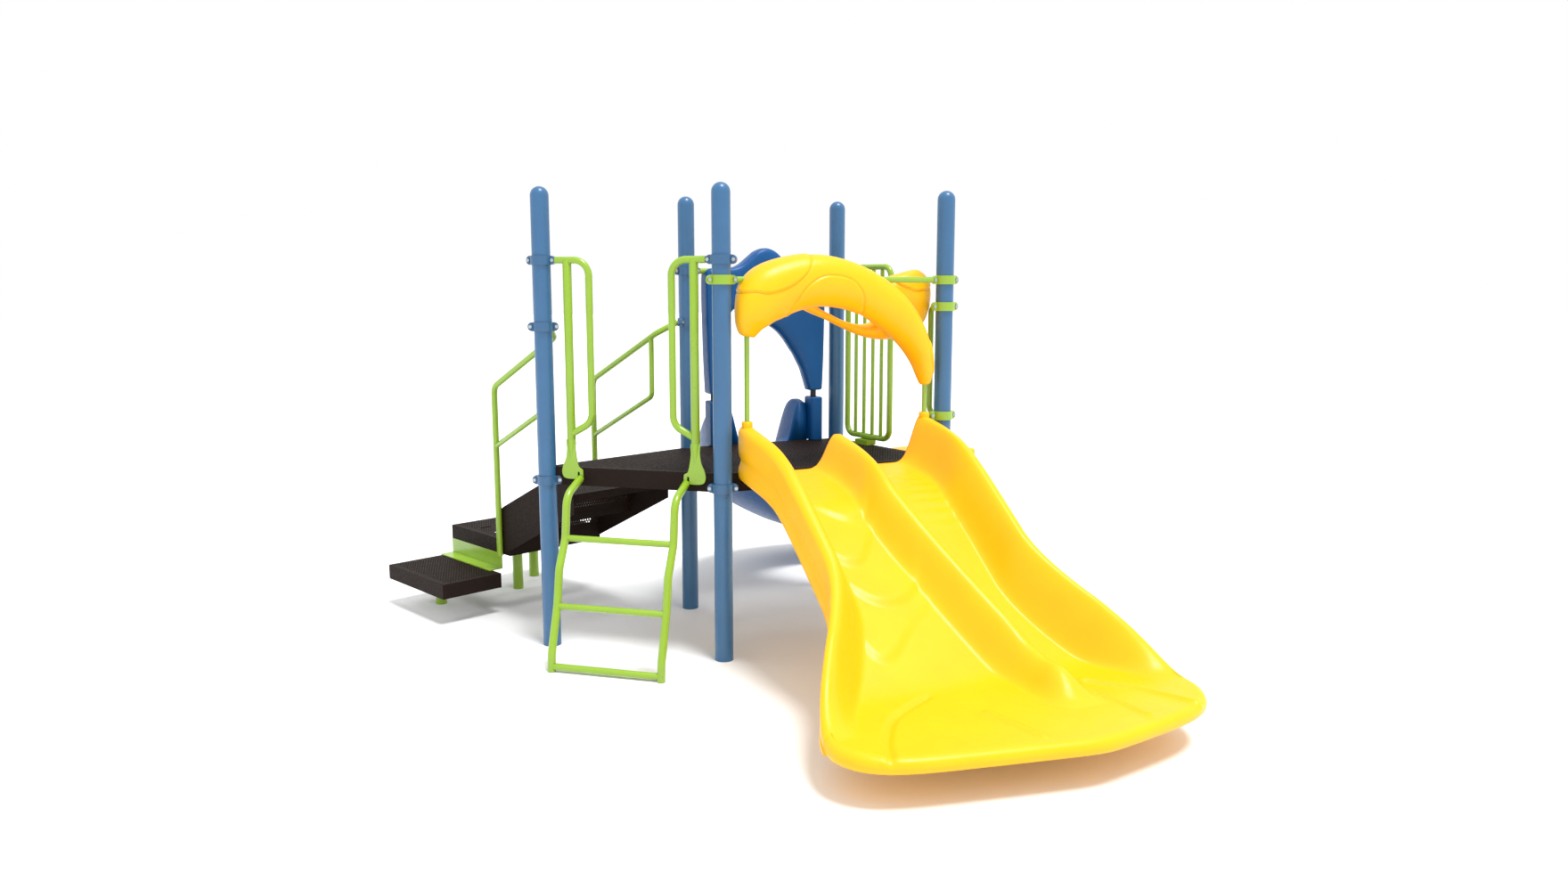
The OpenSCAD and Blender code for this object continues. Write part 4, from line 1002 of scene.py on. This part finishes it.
rearHood = {
    "halfDepth": 0.06, "edge": 0.42, "foldAt": 0.05, "foldDepth": 0.05, "dish": 0.06,
    "outer": ((0.344, 0.291), (0.352, 0.44), (0.358, 0.64), (0.361, 0.9), (0.35, 0.965), (0.3, 0.98),
              (0.21, 0.981), (0.15, 1.0), (0.095, 1.042), (0.05, 1.076), (0, 1.09)),
    "inner": ((-0.262, 0.291), (-0.256, 0.4), (-0.248, 0.52), (-0.238, 0.64), (-0.222, 0.71), (-0.205, 0.745),
              (-0.18, 0.757), (-0.14, 0.748), (-0.09, 0.728), (-0.05, 0.708), (-0.01, 0.684), (0.025, 0.66),
              (0.055, 0.64), (0.082, 0.617), (0.115, 0.578), (0.145, 0.535), (0.17, 0.5), (0.195, 0.455),
              (0.215, 0.417), (0.236, 0.355), (0.256, 0.291)),
}


def rearHoodMesh():
    # a rounded slab between the inner and the outer outline, with a fold along its front
    half = np.array(rearHood["outer"])
    outer = np.vstack((half * (-1, 1), half[-2::-1]))
    inner = np.array(rearHood["inner"])
    t = np.linspace(0, len(outer) - 1, 241)
    o, i = through(outer, t), through(inner, t)
    c, s = squareRound(np.linspace(0, 2 * np.pi, 72, endpoint=False), rearHood["edge"])
    plan = (o + i)[:, None] / 2 + (o - i)[:, None] / 2 * c[None, :, None]
    depth = np.broadcast_to(rearHood["halfDepth"] * s[None], plan.shape[:2]).copy()
    # inner facet of the front falls back from the fold; the lobe's face is dished below its rim
    fold = rearHood["foldDepth"] * np.clip((rearHood["foldAt"] - c) / 1.05, 0, 1)[None]
    rimGap = distanceTo(outer, plan[..., 0], plan[..., 1])
    lobe = (1 - ease(0.1, 0.2, np.abs(plan[..., 0]))) * ease(0.9, 0.96, plan[..., 1])
    dish = rearHood["dish"] * ease(0.026, 0.04, rimGap) * lobe
    depth += np.where(s < 0, np.maximum(fold, dish) * ease(0, 0.6, -s), 0)
    # rounded feet
    end = np.minimum(t, len(outer) - 1 - t)
    shrink = np.sqrt(np.clip(1 - (1 - np.minimum(end / 0.12, 1)) ** 2, 0.0, 1))
    shrink = 0.86 + 0.14 * shrink
    middle = (o + i)[:, None] / 2
    plan = middle + (plan - middle) * shrink[:, None, None]
    depth = depth * shrink[:, None]
    points = np.stack((bayShort / 2 + plan[..., 0], -depth, deckTop + plan[..., 1]), -1).reshape(-1, 3)
    return inBay("b", "d", points), plugged(*plan.shape[:2])


rearHoodPoints, rearHoodFaces = rearHoodMesh()
facesOut(makePiece("rearHood", rearHoodPoints, rearHoodFaces, "rear_hood", "blue_plastic"))
print("rear hood done")


# rear slide, its columns and the side step

rear = {"half": 0.246, "wall": 0.205, "turn": 0.64, "lead": 0.17, "out": 0.38, "exitZ": 0.205, "roll": 0.024,
        "floor": 0.034, "hump": 0.042, "bankW": 0.085, "crown": 0.025, "edge": 0.01, "across": 60,
        "stations": 150, "columnW": 0.074, "columnD": 0.11, "columnBack": 0.06, "columnH": 0.25,
        "columnCorner": 0.02, "columnRim": 0.009}
turnLength = rear["turn"] * math.pi / 2
rearLength = rear["lead"] + turnLength + rear["out"]
rearStart = float(posts["b"][1]) + touchGap


def rearSlideMesh():
    # a trough carried along a straight, a quarter turn and a straight, falling all the way
    s = np.linspace(0, rearLength, rear["stations"])
    heading = np.radians(90) * np.clip((s - rear["lead"]) / turnLength, 0, 1)
    past = np.maximum(0, s - rear["lead"] - turnLength)
    mx = slideMiddle + rear["turn"] * (1 - np.cos(heading)) + past
    my = rearStart + np.minimum(s, rear["lead"]) + rear["turn"] * np.sin(heading)
    drop = (deckTop - rear["exitZ"]) / (rearLength - 0.56)
    chute = softMin(deckTop + 0 * s, deckTop + 0.06 * drop - (s - 0.06) * drop, 0.022)
    bed = softMax(chute, rear["exitZ"], 0.022)
    falling = 1 - ease(rearLength - 0.35, rearLength, s)
    wall = rear["edge"] + (rear["wall"] - rear["edge"]) * falling + rear["hump"] * bank(s - 0.12, 0.2)
    n, r = rear["across"], rear["roll"]
    x = np.linspace(-rear["half"], rear["half"], n + 1)
    top = wall[:, None] * bank(np.maximum(0, rear["half"] - np.abs(x) - rear["crown"]), rear["bankW"])[None]
    b = np.radians(np.linspace(80, 0, 6))
    side = np.column_stack((rear["half"] + r * np.cos(b), -r * (1 - np.sin(b))))
    skinDown = np.linspace(0.1, 1, 6)
    w = wall[:, None]
    rightX = np.concatenate((side[:, 0], rear["half"] + r * (1 - 0.05 * skinDown)))[None] + 0 * w
    skinZ = w - r + (0.012 - rear["floor"] - w + r) * skinDown[None]
    rightZ = np.concatenate((w + side[None, :, 1], skinZ), 1)
    across = np.concatenate((x[None] + 0 * w, rightX, x[::-1][None] + 0 * w, -rightX[:, ::-1]), 1)
    height = np.concatenate((top, rightZ, -rear["floor"] + 0 * top, rightZ[:, ::-1]), 1)
    points = np.stack((mx[:, None] + across * np.cos(heading)[:, None],
                       my[:, None] - across * np.sin(heading)[:, None], bed[:, None] + height), -1)
    return points.reshape(-1, 3), troughFaces(*points.shape[:2], n, rightX.shape[1])


rearPoints, rearFaces = rearSlideMesh()
facesOut(makePiece("rearSlide", rearPoints, rearFaces, "rear_slide", "blue_plastic"))


def roundedBlock(low, high, corner, rimR, sides=12):
    # a box whose plan corners and rims are rounded: the plan outline carried up a rounded profile
    low, high = np.asarray(low, float), np.asarray(high, float)
    b = np.linspace(0, np.pi / 2, 7)
    inset = np.concatenate((rimR * (1 - np.sin(b)), rimR * (1 - np.cos(b)),
                            rimR + np.array((0.3, 0.7)) * corner))
    z = np.concatenate((low[2] + rimR * (1 - np.cos(b)), high[2] - rimR * (1 - np.sin(b)),
                        np.full(2, high[2])))
    rings = []
    quarter = np.linspace(0, np.pi / 2, sides)
    for move, level in zip(inset, z):
        r = max(corner - move, 0.0008)
        a, c = low[:2] + move + r, high[:2] - move - r
        centres = ((c[0], c[1]), (a[0], c[1]), (a[0], a[1]), (c[0], a[1]))
        plan = np.vstack([np.column_stack((x + r * np.cos(quarter + k * np.pi / 2),
                                           y + r * np.sin(quarter + k * np.pi / 2)))
                          for k, (x, y) in enumerate(centres)])
        rings.append(np.column_stack((plan, np.full(len(plan), level))))
    return np.vstack(rings), plugged(len(rings), len(rings[0]))


columnX = rear["half"] + rear["roll"] + touchGap + rear["columnW"] / 2
columnFront = rear["columnD"] - rear["columnBack"]
for label, side in (("Left", -1), ("Right", 1)):
    x = bayShort / 2 + side * columnX
    foot = deckTop + touchGap
    points, faces = roundedBlock((x - rear["columnW"] / 2, -rear["columnBack"], foot),
                                 (x + rear["columnW"] / 2, columnFront, foot + rear["columnH"]),
                                 rear["columnCorner"], rear["columnRim"])
    facesOut(makePiece("rearColumn" + label, inBay("b", "d", points), faces, "rear_columns", "blue_plastic"))

step = {"gapToPost": 0.1344, "length": 0.3, "out": 0.388, "height": 0.13, "corner": 0.035, "rim": 0.014}
stepX = bayShort - step["gapToPost"] - step["length"]
points, faces = roundedBlock((stepX, touchGap, deckTop - step["height"]),
                             (stepX + step["length"], step["out"], deckTop), step["corner"], step["rim"])
facesOut(makePiece("sideStep", inBay("d", "e", points), faces, "side_step", "yellow_plastic"))
print("rear slide, columns and side step done")


# stage, camera and light

lightSettings = {"sky": 1.0, "key": 2.9, "softness": 16, "towards": (-0.12, 0.3, -1.0)}
cameraSettings = {"lens": 25.69, "place": (-1.9187, -4.8851, 1.8131), "turn": (81.956, 0.0, -24.615)}
floorSettings = {"half": 60.0, "white": 0.9, "roughness": 0.9, "specular": 0.1}


def cameraAndLight():
    mesh = bpy.data.meshes.new("floor")
    s = floorSettings["half"]
    mesh.from_pydata([(-s, -s, 0), (s, -s, 0), (s, s, 0), (-s, s, 0)], [], [(0, 1, 2, 3)])
    floor = bpy.data.objects.new("floor", mesh)
    scene.collection.objects.link(floor)
    material, _, shader, _ = newFinish("paleFloor", floorSettings["roughness"])
    shader.inputs["Base Color"].default_value = (*[floorSettings["white"]] * 3, 1)
    shader.inputs["Specular IOR Level"].default_value = floorSettings["specular"]
    mesh.materials.append(material)

    world = bpy.data.worlds.new("studio")
    world.use_nodes = True
    world.node_tree.nodes["Background"].inputs["Color"].default_value = (1, 1, 1, 1)
    world.node_tree.nodes["Background"].inputs["Strength"].default_value = lightSettings["sky"]
    scene.world = world

    data = bpy.data.lights.new("key", "SUN")
    data.energy = lightSettings["key"]
    data.angle = math.radians(lightSettings["softness"])
    lamp = bpy.data.objects.new("key", data)
    scene.collection.objects.link(lamp)
    lamp.rotation_euler = Vector(lightSettings["towards"]).to_track_quat("-Z", "Y").to_euler()

    data = bpy.data.cameras.new("view")
    data.lens = cameraSettings["lens"]
    data.sensor_width = 36.0
    data.clip_end = 200
    camera = bpy.data.objects.new("view", data)
    scene.collection.objects.link(camera)
    camera.location = cameraSettings["place"]
    camera.rotation_euler = [math.radians(a) for a in cameraSettings["turn"]]
    scene.camera = camera


cameraAndLight()
